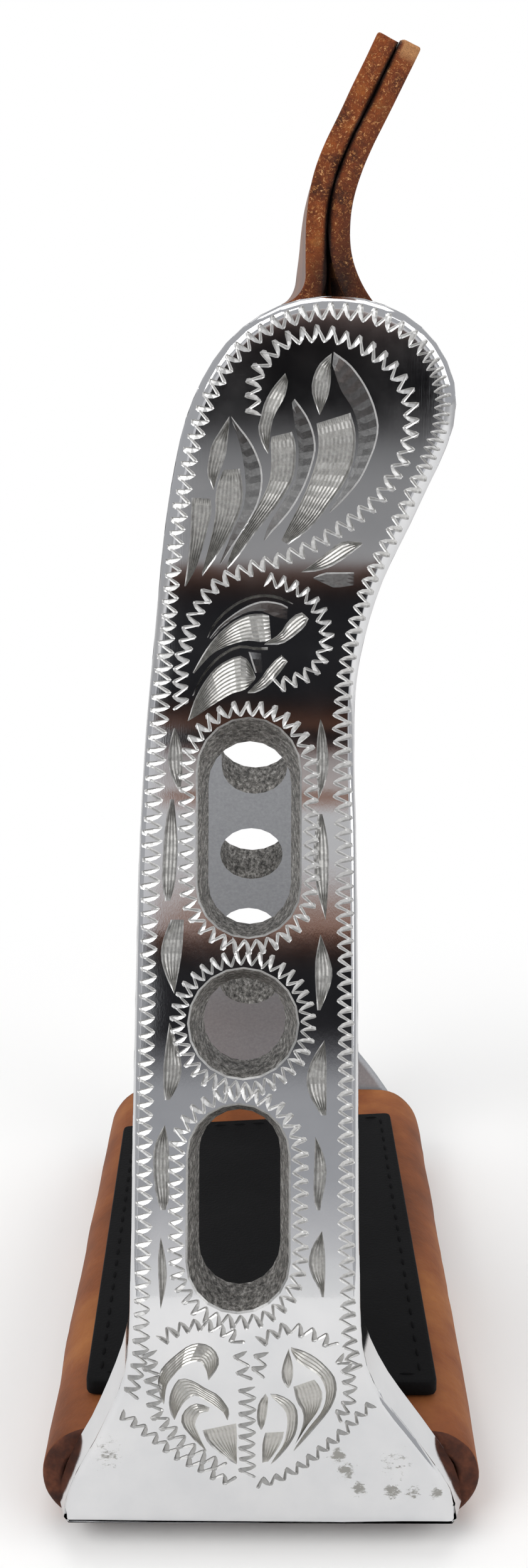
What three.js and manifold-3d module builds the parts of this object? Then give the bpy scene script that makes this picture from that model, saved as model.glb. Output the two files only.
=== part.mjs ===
// Western trail stirrup: two cast, hand-engraved aluminium legs on a leather-covered
// tread, with a top bolt, a roller and a folded leather strap in the neck.
// Millimetres. +X across the foot, +Y along the tread (the near leg is at -Y), +Z up.
// The origin is under the middle of the tread.

import * as THREE from 'three';
import { mergeVertices, toCreasedNormals } from 'three/addons/utils/BufferGeometryUtils.js';
import Module from 'manifold-3d';

const wasm = await Module();
wasm.setup();

// Driving dimensions
const treadLength = 128;         // inside, leg to leg: the room for the boot
const footThickness = 7.5;
const legThickness = 13;
const clearance = 0.3;           // between any two separate pieces

const leatherThickness = 3.5;
const deckThickness = 8.9;
const rollHalfWidth = 34.4;      // half the width of the leather-covered tread
const foldRoom = 3;              // hollow left inside each rolled edge of the leather
const deckHalfWidth = rollHalfWidth - leatherThickness - clearance - foldRoom;

const leanAngle = THREE.MathUtils.degToRad(19);
const footRise = 25.9;           // upright part of the leg above the deck's underside
const footDrop = 0.6;            // the foot ends this far below the deck's underside
const lowerBendRadius = 60;
const leanLength = 64;
const upperBendRadius = 80;

const boltX = 10;
const boltZ = 173.9;
const boltRadius = 4;
const rollerRadius = 10.5;
const strapWidth = 50;
const strapThickness = 3.2;

// Heights that follow from them
const deckBottom = leatherThickness + clearance;
const deckTop = deckBottom + deckThickness;
const treadTop = deckTop + clearance + leatherThickness;
const innerFaceY = treadLength / 2;
const footFaceY = innerFaceY + footThickness;

const colours = {
  aluminium: '#c9ccd0',
  castCore: '#a4a7aa',
  steel: '#8d9094',
  bronze: '#a8864e',
  strapLeather: '#7a4526',
  treadLeather: '#a9703f',
  rubber: '#1d1d1e',
};

const smoothStep = (value, from, to) => THREE.MathUtils.smoothstep(value, from, to);

// Solid helpers

function toSolid(geometry) {
  const bare = geometry.clone();
  bare.deleteAttribute('normal');
  bare.deleteAttribute('uv');
  const merged = mergeVertices(bare, 1e-4);
  const mesh = new wasm.Mesh({
    numProp: 3,
    vertProperties: new Float32Array(merged.attributes.position.array),
    triVerts: new Uint32Array(merged.index.array),
  });
  return new wasm.Manifold(mesh);
}

function fromSolid(solid) {
  const mesh = solid.getMesh();
  const geometry = new THREE.BufferGeometry();
  geometry.setAttribute('position', new THREE.BufferAttribute(mesh.vertProperties, 3));
  geometry.setIndex(new THREE.BufferAttribute(mesh.triVerts, 1));
  return geometry;
}

function cut(geometry, cutters) {
  let solid = toSolid(geometry);
  for (const cutter of cutters) {
    solid = solid.subtract(toSolid(cutter));
  }
  return fromSolid(solid);
}

function join(geometry, additions) {
  let solid = toSolid(geometry);
  for (const addition of additions) {
    solid = solid.add(toSolid(addition));
  }
  return fromSolid(solid);
}

// A turned piece: pairs of radius and height, about the Y axis.
function turned(profile, segments = 40) {
  const points = profile.map(([radius, height]) => new THREE.Vector2(radius, height));
  return new THREE.LatheGeometry(points, segments);
}

// The same, standing along Z.
function turnedUpright(profile, segments = 20) {
  return turned(profile, segments).rotateX(Math.PI / 2);
}

// A flat outline in X and Z, carried along Y.
function prismAlongY(outline, fromY, toY) {
  const shape = new THREE.Shape(outline);
  const depth = toY - fromY;
  const solid = new THREE.ExtrudeGeometry(shape, { depth, bevelEnabled: false, curveSegments: 12 });
  return solid.rotateX(Math.PI / 2).translate(0, toY, 0);
}

// A flat outline in X and Y, carried up Z.
function prismUp(outline, fromZ, toZ) {
  const shape = new THREE.Shape(outline);
  const depth = toZ - fromZ;
  const solid = new THREE.ExtrudeGeometry(shape, { depth, bevelEnabled: false, curveSegments: 12 });
  return solid.translate(0, 0, fromZ);
}

function block(sizeX, sizeY, sizeZ, x, y, z) {
  return new THREE.BoxGeometry(sizeX, sizeY, sizeZ).translate(x, y, z);
}

function arcPoints(centreX, centreY, radius, fromAngle, toAngle, steps) {
  const points = [];
  for (let i = 0; i <= steps; i += 1) {
    const angle = fromAngle + ((toAngle - fromAngle) * i) / steps;
    points.push(new THREE.Vector2(centreX + radius * Math.cos(angle), centreY + radius * Math.sin(angle)));
  }
  return points;
}

// A rounded rectangle, anticlockwise from its lower right corner.
function roundedRectangle(left, right, bottom, top, radius, steps = 6) {
  const quarter = Math.PI / 2;
  return [
    ...arcPoints(right - radius, bottom + radius, radius, -quarter, 0, steps),
    ...arcPoints(right - radius, top - radius, radius, 0, quarter, steps),
    ...arcPoints(left + radius, top - radius, radius, quarter, 2 * quarter, steps),
    ...arcPoints(left + radius, bottom + radius, radius, 2 * quarter, 3 * quarter, steps),
  ];
}

// The bell shape of a leg: its outer face seen from the side. The run is the length
// measured up the face from the deck's underside; lean is the face's angle from upright.
const lowerBendLength = lowerBendRadius * leanAngle;
const upperBendLength = upperBendRadius * leanAngle;
const bendStarts = {
  lower: footRise,
  straight: footRise + lowerBendLength,
  upper: footRise + lowerBendLength + leanLength,
  head: footRise + lowerBendLength + leanLength + upperBendLength,
};

function facePoint(run) {
  const point = { y: -footFaceY, z: deckBottom, lean: 0 };
  const rise = Math.min(run, bendStarts.lower);
  point.z += rise;
  if (run > bendStarts.lower) {
    point.lean = Math.min(run - bendStarts.lower, lowerBendLength) / lowerBendRadius;
    point.y += lowerBendRadius * (1 - Math.cos(point.lean));
    point.z += lowerBendRadius * Math.sin(point.lean);
  }
  if (run > bendStarts.straight) {
    const length = Math.min(run - bendStarts.straight, leanLength);
    point.y += length * Math.sin(leanAngle);
    point.z += length * Math.cos(leanAngle);
  }
  if (run > bendStarts.upper) {
    point.lean = leanAngle - Math.min(run - bendStarts.upper, upperBendLength) / upperBendRadius;
    point.y += upperBendRadius * (Math.cos(point.lean) - Math.cos(leanAngle));
    point.z += upperBendRadius * (Math.sin(leanAngle) - Math.sin(point.lean));
  }
  if (run > bendStarts.head) {
    point.z += run - bendStarts.head;
  }
  return point;
}

// From the flattened leg (across, run up the face, depth behind the face) to the near leg.
function bend(across, run, depth) {
  const point = facePoint(run);
  const y = point.y + depth * Math.cos(point.lean);
  const z = point.z - depth * Math.sin(point.lean);
  return new THREE.Vector3(across, y, z);
}

const headFaceY = -facePoint(bendStarts.head).y;
const headInnerY = headFaceY - legThickness;

// Outline of the flattened leg seen from outside, as points (across, run) from the lower
// left corner up over the head and down to the lower right corner.
const outlineKeys = [
  [-29.6, -footDrop], [-31.4, 0.9], [-31.2, 4.2], [-30.2, 7.6], [-28.6, 11.4], [-26.2, 15.8],
  [-24.1, 20.4], [-22.4, 24.4], [-21.2, 28], [-20.2, 33.4], [-19.5, 40], [-19.2, 64],
  [-18.9, 86], [-18.4, 109], [-17.5, 124.4], [-15.9, 139.9], [-14.4, 153.9], [-12.9, 162.9],
  [-11.1, 170.3], [-8.3, 176.6], [-4.8, 181.5], [-0.2, 185.1], [5, 187.2], [10.4, 187.8],
  [15.8, 187.2], [21.3, 184.9], [25.5, 181.1], [28.1, 175.9], [28.4, 170.6], [27, 165.7],
  [24.8, 160.9], [21.8, 154.3], [18.3, 146.9], [15.7, 138.5], [14.4, 131], [14.2, 121],
  [14.5, 107], [14.7, 86], [14.7, 64], [14.8, 46], [15.2, 37], [16.1, 31.4], [17.6, 27],
  [19.6, 23.4], [22, 20], [24.5, 16.6], [26.5, 13.6], [28.7, 10.2], [30.4, 6.9], [31.2, 3.7],
  [31.4, 0.9], [29.6, -footDrop],
];
const outlineSteps = 132;

function legOutline() {
  const keys = outlineKeys.map(([across, run]) => new THREE.Vector3(across, run, 0));
  const curve = new THREE.CatmullRomCurve3(keys, false, 'centripetal');
  return curve.getSpacedPoints(outlineSteps).map((point) => new THREE.Vector2(point.x, point.y));
}

// Unit normals of the outline, pointing into the leg.
function inwardNormals(outline) {
  const count = outline.length;
  return outline.map((point, index) => {
    const before = outline[(index + count - 1) % count];
    const after = outline[(index + 1) % count];
    const along = after.clone().sub(before).normalize();
    return new THREE.Vector2(along.y, -along.x);
  });
}

function thicknessAt(run) {
  return footThickness + (legThickness - footThickness) * smoothStep(run, 14, 46);
}

// Polished roundings: small on the leg, wider round the head, widest along the bottom.
function outerRounding(run) {
  const legRounding = 1.1;
  const headRounding = 2;
  const bottomRounding = 2.5;
  const towardsHead = smoothStep(run, 122, 162);
  const towardsBottom = 1 - smoothStep(run, -footDrop, 6);
  return legRounding + (headRounding - legRounding) * towardsHead
    + (bottomRounding - legRounding) * towardsBottom;
}

const innerRounding = 1.2;
const roundingSteps = 3;

// The flared foot narrows towards its outer face, as it was drawn from the mould.
function footDraft(run) {
  return 1.1 * (1 - smoothStep(run, 24, 42));
}

// Rings round the leg from the edge of the outer face to the edge of the inner face.
function edgeRings(outline, normals) {
  const rings = [];
  const addRing = (inset, depth) => {
    rings.push(outline.map((point, index) => {
      const moved = point.clone().addScaledVector(normals[index], inset(point.y));
      return bend(moved.x, Math.max(moved.y, -footDrop), depth(point.y));
    }));
  };
  for (let i = 0; i <= roundingSteps; i += 1) {
    const angle = (Math.PI / 2) * (i / roundingSteps);
    addRing((run) => footDraft(run) + outerRounding(run) * (1 - Math.sin(angle)),
      (run) => outerRounding(run) * (1 - Math.cos(angle)));
  }
  for (let i = 0; i <= roundingSteps; i += 1) {
    const angle = (Math.PI / 2) * (i / roundingSteps);
    addRing(() => innerRounding * (1 - Math.cos(angle)),
      (run) => thicknessAt(run) - innerRounding * (1 - Math.sin(angle)));
  }
  return rings;
}

// Fills a face between its left and right edges, from the bottom up to the apex.
function faceTriangles(outline, offset, outward) {
  let apex = 0;
  outline.forEach((point, index) => {
    if (point.y > outline[apex].y) apex = index;
  });
  const triangles = [];
  let left = 0;
  let right = outline.length - 1;
  while (left < apex || right > apex) {
    const raiseLeft = right === apex || (left < apex && outline[left + 1].y <= outline[right - 1].y);
    const next = raiseLeft ? left + 1 : right - 1;
    const corners = outward ? [left, right, next] : [left, next, right];
    if (new Set(corners).size === 3) {
      triangles.push(...corners.map((corner) => corner + offset));
    }
    if (raiseLeft) left = next;
    else right = next;
  }
  return triangles;
}

function legBlank() {
  const outline = legOutline();
  const rings = edgeRings(outline, inwardNormals(outline));
  const count = outline.length;
  const positions = rings.flat().flatMap((point) => [point.x, point.y, point.z]);
  const index = [];
  for (let ring = 0; ring < rings.length - 1; ring += 1) {
    for (let i = 0; i < count; i += 1) {
      const next = (i + 1) % count;
      const a = ring * count + i;
      const b = ring * count + next;
      index.push(a, b, b + count, a, b + count, a + count);
    }
  }
  index.push(...faceTriangles(outline, 0, true));
  index.push(...faceTriangles(outline, (rings.length - 1) * count, false));
  const geometry = new THREE.BufferGeometry();
  geometry.setAttribute('position', new THREE.Float32BufferAttribute(positions, 3));
  geometry.setIndex(index);
  return geometry;
}

// The three cored openings. All are drawn square to the leaning part of the leg and
// narrow towards its back.
const openings = [
  { across: -1.85, from: 92.9, to: 125.9, width: 15.6, sideDraft: 0.09, endDraft: 0.15 },
  { across: -2.6, from: 71.9, to: 88.2, width: 16.3, sideDraft: 0.13, endDraft: 0.13 },
  { across: -3.3, from: 37.3, to: 67.9, width: 15, sideDraft: 0.09, endDraft: 0.15 },
];

const leanDirection = new THREE.Vector3(0, Math.sin(leanAngle), Math.cos(leanAngle));
const inDirection = new THREE.Vector3(0, Math.cos(leanAngle), -Math.sin(leanAngle));

function openingCore(opening) {
  const lower = bend(opening.across, opening.from, 0);
  const upper = bend(opening.across, opening.to, 0);
  const middle = lower.clone().add(upper).multiplyScalar(0.5);
  const length = upper.clone().sub(lower).dot(leanDirection);
  const steps = 10;
  const ring = (depth) => {
    const halfWidth = opening.width / 2 - opening.sideDraft * depth;
    const halfLength = length / 2 - opening.endDraft * depth;
    const straight = Math.max(halfLength - halfWidth, 0);
    const outline = [
      ...arcPoints(0, straight, halfWidth, 0, Math.PI, steps),
      ...arcPoints(0, -straight, halfWidth, Math.PI, 2 * Math.PI, steps),
    ];
    return outline.map((point) => middle.clone()
      .addScaledVector(leanDirection, point.y)
      .addScaledVector(inDirection, depth)
      .add(new THREE.Vector3(point.x, 0, 0)));
  };
  return loft(ring(-5), ring(legThickness + 7));
}

// A closed solid between two rings of the same count, with fans across the ends.
function loft(front, back) {
  const count = front.length;
  const centre = (ring) => ring.reduce((sum, point) => sum.add(point), new THREE.Vector3())
    .divideScalar(ring.length);
  const points = [...front, ...back, centre(front), centre(back)];
  const index = [];
  for (let i = 0; i < count; i += 1) {
    const next = (i + 1) % count;
    index.push(i, i + count, next + count, i, next + count, next);
    index.push(2 * count, i, next, 2 * count + 1, next + count, i + count);
  }
  const geometry = new THREE.BufferGeometry();
  geometry.setAttribute('position', new THREE.Float32BufferAttribute(
    points.flatMap((point) => [point.x, point.y, point.z]), 3));
  geometry.setIndex(index);
  return geometry;
}

// Foot flange: the ledge that runs under the end of the deck in a half-lap joint.
const flangeThickness = 4.4;
const flangeReach = 25;
const flangeHalfWidth = 24;
const deckScrewX = 15;
const deckScrewY = innerFaceY - flangeReach / 2 - 1;
const deckScrewRadius = 2.5;

function footFlange() {
  const corner = 4;
  const endY = -innerFaceY + flangeReach;
  const outline = roundedRectangle(-flangeHalfWidth, flangeHalfWidth, -footFaceY + 3, endY, corner);
  return prismUp(outline, deckBottom, deckBottom + flangeThickness);
}

function deckScrewBore(x, y) {
  const radius = deckScrewRadius + clearance;
  return turnedUpright([[0, -10], [radius, -10], [radius, 10], [0, 10]]).translate(x, y, deckBottom);
}

// Bolt bores, run along Y at the top of the heads.
const boltTipY = -headInnerY - 8.5;
const counterboreRadius = 8.2;
const counterboreDepth = 6.6;

function nearBore() {
  const radius = boltRadius + clearance;
  const floorY = boltTipY - clearance;
  const mouthY = -headInnerY + 5;
  const profile = [[0, floorY - 2], [radius, floorY], [radius, mouthY], [0, mouthY]];
  return turned(profile).translate(boltX, 0, boltZ);
}

function farBore() {
  const radius = boltRadius + clearance;
  const floorY = headFaceY - counterboreDepth;
  const profile = [
    [0, headInnerY - 5], [radius, headInnerY - 5], [radius, floorY],
    [counterboreRadius, floorY], [counterboreRadius, headFaceY + 5], [0, headFaceY + 5],
  ];
  return turned(profile).translate(boltX, 0, boltZ);
}

function legCasting() {
  const flanged = join(legBlank(), [footFlange()]);
  const screwBores = [-1, 1].map((side) => deckScrewBore(side * deckScrewX, -deckScrewY));
  return cut(flanged, [...openings.map(openingCore), ...screwBores]);
}

function nearLeg() {
  return cut(legCasting(), [nearBore()]);
}

function farLeg() {
  const mirrored = fromSolid(toSolid(legCasting()).mirror([0, 1, 0]));
  return cut(mirrored, [farBore()]);
}

// Deck: the flat casting under the leather, lapped over both foot flanges.
const wrapScrewX = 9;
const wrapScrewYs = [-30, 0, 30];
const wrapScrewRadius = 1.8;
const wrapScrewTop = 10;

function treadDeck() {
  const edgeRadius = 1.5;
  const endY = innerFaceY - clearance;
  const section = roundedRectangle(-deckHalfWidth, deckHalfWidth, deckBottom, deckTop, edgeRadius);
  const plate = prismAlongY(section, -endY, endY);
  const cutters = [];
  const lapTop = deckBottom + flangeThickness + clearance;
  const lapDepth = lapTop - deckBottom + 1;
  const lapReach = flangeReach + clearance;
  const lapWidth = 2 * deckHalfWidth + 2;
  for (const end of [-1, 1]) {
    const lapY = end * (innerFaceY - lapReach / 2 + 1);
    cutters.push(block(lapWidth, lapReach + 2, lapDepth, 0, lapY, lapTop - lapDepth / 2));
    for (const side of [-1, 1]) {
      cutters.push(countersink(deckScrewRadius + clearance, deckThickness).rotateX(Math.PI)
        .translate(side * deckScrewX, end * deckScrewY, deckTop));
    }
  }
  for (const side of [-1, 1]) {
    for (const y of wrapScrewYs) {
      const radius = wrapScrewRadius + clearance;
      const floor = wrapScrewTop + clearance;
      cutters.push(turnedUpright([[0, 1], [radius, 1], [radius, floor], [0, floor + 0.8]])
        .translate(side * wrapScrewX, y, 0));
    }
  }
  return cut(plate, cutters);
}

// A countersunk hole entered from below at height 0: the cone first, then the bore.
function countersink(radius, length) {
  const mouth = 2 * radius - 0.6;
  return turnedUpright([[0, -1], [mouth, -1], [mouth, 0.3], [radius, 0.3 + mouth - radius],
    [radius, length], [0, length]]);
}

// A countersunk screw standing head down at height 0, with a cross recess.
function countersunkScrew(radius, length) {
  const headRadius = 2 * radius - 0.7;
  const rim = 0.3;
  const cone = headRadius - radius;
  const point = 0.5;
  const body = turnedUpright([[0, 0], [headRadius, 0], [headRadius, rim], [radius, rim + cone],
    [radius, length - point], [radius - point, length], [0, length]]);
  const recessLength = headRadius * 1.1;
  const recessWidth = headRadius * 0.26;
  const recessDepth = 1.1;
  const recess = [0, 1].map((turn) => block(recessLength, recessWidth, 2 * recessDepth, 0, 0, 0)
    .rotateZ((turn * Math.PI) / 2));
  return cut(body, recess);
}

function deckScrew(x, y) {
  const length = deckTop - deckBottom - 0.6;
  return countersunkScrew(deckScrewRadius, length).rotateX(Math.PI)
    .translate(x, y, deckTop - clearance);
}

function wrapScrew(x, y) {
  return countersunkScrew(wrapScrewRadius, wrapScrewTop - clearance).translate(x, y, clearance);
}

// Tread leather: one strip wrapped round the deck, its two edges meeting underneath.
function treadLeather() {
  const seamHalfGap = 1;
  const steps = 12;
  const endY = innerFaceY - clearance;
  const outerRadius = treadTop / 2;
  const innerRadius = outerRadius - leatherThickness;
  const rollCentreX = rollHalfWidth - outerRadius;
  const quarter = Math.PI / 2;
  const outline = [
    new THREE.Vector2(seamHalfGap, 0),
    ...arcPoints(rollCentreX, outerRadius, outerRadius, -quarter, quarter, steps),
    ...arcPoints(-rollCentreX, outerRadius, outerRadius, quarter, 3 * quarter, steps),
    new THREE.Vector2(-seamHalfGap, 0),
    new THREE.Vector2(-seamHalfGap, leatherThickness),
    ...arcPoints(-rollCentreX, outerRadius, innerRadius, 3 * quarter, quarter, steps),
    ...arcPoints(rollCentreX, outerRadius, innerRadius, quarter, -quarter, steps),
    new THREE.Vector2(seamHalfGap, leatherThickness),
  ];
  const wrap = prismAlongY(outline, -endY, endY);
  const cutters = [];
  for (const side of [-1, 1]) {
    for (const y of wrapScrewYs) {
      cutters.push(countersink(wrapScrewRadius + clearance, leatherThickness + 2)
        .translate(side * wrapScrewX, y, 0));
    }
  }
  return cut(wrap, cutters);
}

// Tread pad: a hand-cut rubber sheet, stitched down; its far edge is cut a little askew.
const padThickness = 2.6;
const padBottom = treadTop + clearance;

function treadPad() {
  const nearY = -0.86 * innerFaceY;
  const corners = [
    [0.823 * rollHalfWidth, nearY], [0.785 * rollHalfWidth, 0.709 * innerFaceY],
    [-0.86 * rollHalfWidth, 0.602 * innerFaceY], [-0.817 * rollHalfWidth, nearY],
  ];
  const shape = roundedPolygon(corners, 1.6);
  const edge = 0.5;
  const pad = new THREE.ExtrudeGeometry(shape, {
    depth: padThickness - edge,
    bevelEnabled: true,
    bevelThickness: edge,
    bevelSize: edge,
    bevelOffset: -edge,
    bevelSegments: 2,
    curveSegments: 5,
  });
  const whole = pad.translate(0, 0, padBottom);
  const below = block(200, 200, 10, 0, 0, padBottom - 5);
  return cut(whole, [below]);
}

function roundedPolygon(corners, radius) {
  const shape = new THREE.Shape();
  const count = corners.length;
  corners.forEach(([x, y], index) => {
    const here = new THREE.Vector2(x, y);
    const before = new THREE.Vector2(...corners[(index + count - 1) % count]);
    const after = new THREE.Vector2(...corners[(index + 1) % count]);
    const entry = here.clone().add(before.sub(here).setLength(radius));
    const leave = here.clone().add(after.sub(here).setLength(radius));
    if (index === 0) shape.moveTo(entry.x, entry.y);
    else shape.lineTo(entry.x, entry.y);
    shape.quadraticCurveTo(x, y, leave.x, leave.y);
  });
  shape.closePath();
  return shape;
}

// Top bolt, washer, roller and bushes, all on the bolt's axis along Y.
const washerThickness = 1.2;
const washerY = headFaceY - counterboreDepth + clearance;
const boltHeadY = washerY + washerThickness + clearance;
const boltHeadHeight = 4;

function topBolt() {
  const headRadius = 6.5;
  const headTop = boltHeadY + boltHeadHeight;
  const round = 0.5;
  const body = turned([
    [0, boltTipY], [boltRadius - 0.8, boltTipY], [boltRadius, boltTipY + 0.8],
    [boltRadius, boltHeadY], [headRadius, boltHeadY], [headRadius, headTop - round],
    [headRadius - round, headTop], [0, headTop],
  ]);
  const socketRadius = 2.9;
  const socketDepth = 2.6;
  const socket = new THREE.CylinderGeometry(socketRadius, socketRadius, 2 * socketDepth, 6)
    .translate(0, headTop, 0);
  return cut(body, [socket]).translate(boltX, 0, boltZ);
}

function ring(innerRadius, outerRadius, fromY, toY, edge) {
  return turned([
    [innerRadius, fromY], [outerRadius - edge, fromY], [outerRadius, fromY + edge],
    [outerRadius, toY - edge], [outerRadius - edge, toY], [innerRadius, toY], [innerRadius, fromY],
  ]).translate(boltX, 0, boltZ);
}

function boltWasher() {
  return ring(boltRadius + clearance, 7.7, washerY, washerY + washerThickness, 0.2);
}

const bushFlange = 1.5;
const bushLength = 10;
const bushRadius = 6.5;
const bushFlangeRadius = 9.6;
const rollerEndY = headInnerY - clearance - bushFlange - clearance;

function roller() {
  return ring(bushRadius + clearance, rollerRadius, -rollerEndY, rollerEndY, 0.6);
}

// The bush at the far head; the near one is its mirror image.
function rollerBush(side) {
  const inner = boltRadius + clearance;
  const outerEnd = headInnerY - clearance;
  const shoulder = outerEnd - bushFlange;
  const bush = turned([
    [inner, shoulder - bushLength], [bushRadius, shoulder - bushLength], [bushRadius, shoulder],
    [bushFlangeRadius, shoulder], [bushFlangeRadius, outerEnd], [inner, outerEnd],
    [inner, shoulder - bushLength],
  ]);
  if (side < 0) bush.rotateX(Math.PI);
  return bush.translate(boltX, 0, boltZ);
}

// Strap: one strip of leather folded round the roller. The path below is the middle of its
// thickness, from the cut end of the left ply round the roller to that of the right ply.
const plyOffset = strapThickness / 2 + clearance / 2;
const seamX = boltX + 0.05;
const seamBendZ = boltZ + 23;
const seamBendRadius = 27;
const strapLean = THREE.MathUtils.degToRad(26.7);
const strapStraight = 16.3;
const leftFillet = 6;
const rightFillet = 17.9;

function strapPath() {
  const loopRadius = rollerRadius + clearance + strapThickness / 2;
  const bendCentreX = seamX + seamBendRadius;
  const upAlong = new THREE.Vector2(Math.sin(strapLean), Math.cos(strapLean));
  const steps = 12;
  const ply = (side, fillet) => {
    const x = seamX + side * plyOffset;
    const filletX = x + side * fillet;
    const filletZ = boltZ + Math.sqrt((loopRadius + fillet) ** 2 - (filletX - boltX) ** 2);
    const towards = Math.atan2(boltZ - filletZ, boltX - filletX);
    const bendRadius = seamBendRadius - side * plyOffset;
    const upper = arcPoints(bendCentreX, seamBendZ, bendRadius, Math.PI - strapLean, Math.PI, steps);
    const top = upper[0].clone().addScaledVector(upAlong, strapStraight);
    const start = side < 0 ? 0 : Math.PI;
    const end = side < 0 ? towards : towards + 2 * Math.PI;
    const lower = arcPoints(filletX, filletZ, fillet, start, end, steps);
    return { points: [top, ...upper, ...lower], touch: towards + Math.PI };
  };
  const left = ply(-1, leftFillet);
  const right = ply(1, rightFillet);
  const loop = arcPoints(boltX, boltZ, loopRadius, left.touch, right.touch + 2 * Math.PI, 36);
  const path = [...left.points, ...loop.slice(1, -1), ...right.points.reverse()];
  return path.filter((point, index) => index === 0 || point.distanceTo(path[index - 1]) > 1e-3);
}

function hangerStrap() {
  const path = strapPath();
  const edge = (offset) => path.map((point, index) => {
    const before = path[Math.max(index - 1, 0)];
    const after = path[Math.min(index + 1, path.length - 1)];
    const along = after.clone().sub(before).normalize();
    return point.clone().add(new THREE.Vector2(-along.y, along.x).multiplyScalar(offset));
  });
  const inside = edge(strapThickness / 2);
  const outside = edge(-strapThickness / 2);
  const outline = [...outside, ...inside.reverse()];
  return prismAlongY(outline, -strapWidth / 2, strapWidth / 2);
}

// Assembly

function material(colour, metalness, roughness) {
  return new THREE.MeshStandardMaterial({ color: colour, metalness, roughness });
}

const finishes = {
  polished: material(colours.aluminium, 0.9, 0.25),
  cast: material(colours.castCore, 0.8, 0.6),
  steel: material(colours.steel, 0.9, 0.35),
  bronze: material(colours.bronze, 0.9, 0.4),
  strap: material(colours.strapLeather, 0, 0.8),
  tread: material(colours.treadLeather, 0, 0.7),
  rubber: material(colours.rubber, 0, 0.8),
};

const group = new THREE.Group();
group.name = 'stirrup';

function add(name, geometry, finish) {
  const crease = THREE.MathUtils.degToRad(30);
  const mesh = new THREE.Mesh(toCreasedNormals(geometry, crease), finish);
  mesh.name = name;
  group.add(mesh);
}

add('near_leg', nearLeg(), finishes.polished);
add('far_leg', farLeg(), finishes.polished);
add('tread_deck', treadDeck(), finishes.cast);
for (const [endName, end] of [['near', -1], ['far', 1]]) {
  for (const [sideName, side] of [['left', -1], ['right', 1]]) {
    add(`deck_screw_${endName}_${sideName}`, deckScrew(side * deckScrewX, end * deckScrewY),
      finishes.steel);
  }
}
add('tread_leather', treadLeather(), finishes.tread);
for (const [sideName, side] of [['left', -1], ['right', 1]]) {
  wrapScrewYs.forEach((y, index) => {
    add(`wrap_screw_${sideName}_${index + 1}`, wrapScrew(side * wrapScrewX, y), finishes.steel);
  });
}
add('tread_pad', treadPad(), finishes.rubber);
add('top_bolt', topBolt(), finishes.steel);
add('bolt_washer', boltWasher(), finishes.steel);
add('roller', roller(), finishes.polished);
add('roller_bush_near', rollerBush(-1), finishes.bronze);
add('roller_bush_far', rollerBush(1), finishes.bronze);
add('hanger_strap', hangerStrap(), finishes.strap);

export default group;
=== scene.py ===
# %% [markdown]
# A western stirrup in polished aluminium, leather and rubber
#
# This lesson dresses the CAD model of a trail stirrup. Two cast aluminium legs stand on a
# leather-covered tread, and a folded leather strap hangs them from the saddle. The legs are
# polished like mirrors and then engraved by hand, so most of the work is in those two
# faces. Everything is in metres, in the CAD model's own frame: X across the foot, Y along
# the tread, Z up.

# %% Set up
import math
import random
import time

import bmesh
import bpy
import numpy as np
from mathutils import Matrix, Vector
from mathutils import noise
from mathutils.geometry import delaunay_2d_cdt
from mathutils.kdtree import KDTree


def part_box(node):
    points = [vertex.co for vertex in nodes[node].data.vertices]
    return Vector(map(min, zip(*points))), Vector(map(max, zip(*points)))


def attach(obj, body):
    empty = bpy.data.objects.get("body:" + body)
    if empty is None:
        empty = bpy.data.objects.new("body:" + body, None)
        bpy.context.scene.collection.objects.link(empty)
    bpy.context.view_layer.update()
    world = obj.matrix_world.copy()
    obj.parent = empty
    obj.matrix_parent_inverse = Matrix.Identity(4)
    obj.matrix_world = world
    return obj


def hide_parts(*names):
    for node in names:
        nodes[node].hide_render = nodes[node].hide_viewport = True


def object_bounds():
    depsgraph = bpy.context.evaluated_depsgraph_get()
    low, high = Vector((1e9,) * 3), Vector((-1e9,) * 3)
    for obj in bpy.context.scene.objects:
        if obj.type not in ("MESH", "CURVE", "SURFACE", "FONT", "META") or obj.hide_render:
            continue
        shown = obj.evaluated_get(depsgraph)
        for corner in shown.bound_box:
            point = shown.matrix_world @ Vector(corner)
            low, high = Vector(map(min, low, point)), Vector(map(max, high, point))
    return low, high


started = time.time()
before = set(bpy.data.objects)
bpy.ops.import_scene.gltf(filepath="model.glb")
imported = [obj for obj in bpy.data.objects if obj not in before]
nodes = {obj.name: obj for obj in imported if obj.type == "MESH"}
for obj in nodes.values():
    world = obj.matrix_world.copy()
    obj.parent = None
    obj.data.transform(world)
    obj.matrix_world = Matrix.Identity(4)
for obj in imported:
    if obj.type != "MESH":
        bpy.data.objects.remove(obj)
cad_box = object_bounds()
MM = 0.001
print("CAD pieces:", len(nodes))


# %% [markdown]
# Colours and nodes
#
# Colours are easiest to judge as the hex values of a paint program. Blender mixes light in
# linear numbers, so one function turns them. A second one adds a shader node, sets its
# values and links what comes from other nodes, which keeps each material short.

# %% Colour and node helpers
def linear(hex_colour):
    """The linear red, green, blue and alpha of an sRGB hex colour."""
    parts = [int(hex_colour[i:i + 2], 16) / 255 for i in (1, 3, 5)]
    return tuple(((c + 0.055) / 1.055) ** 2.4 if c > 0.04045 else c / 12.92 for c in parts) + (1,)


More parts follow.
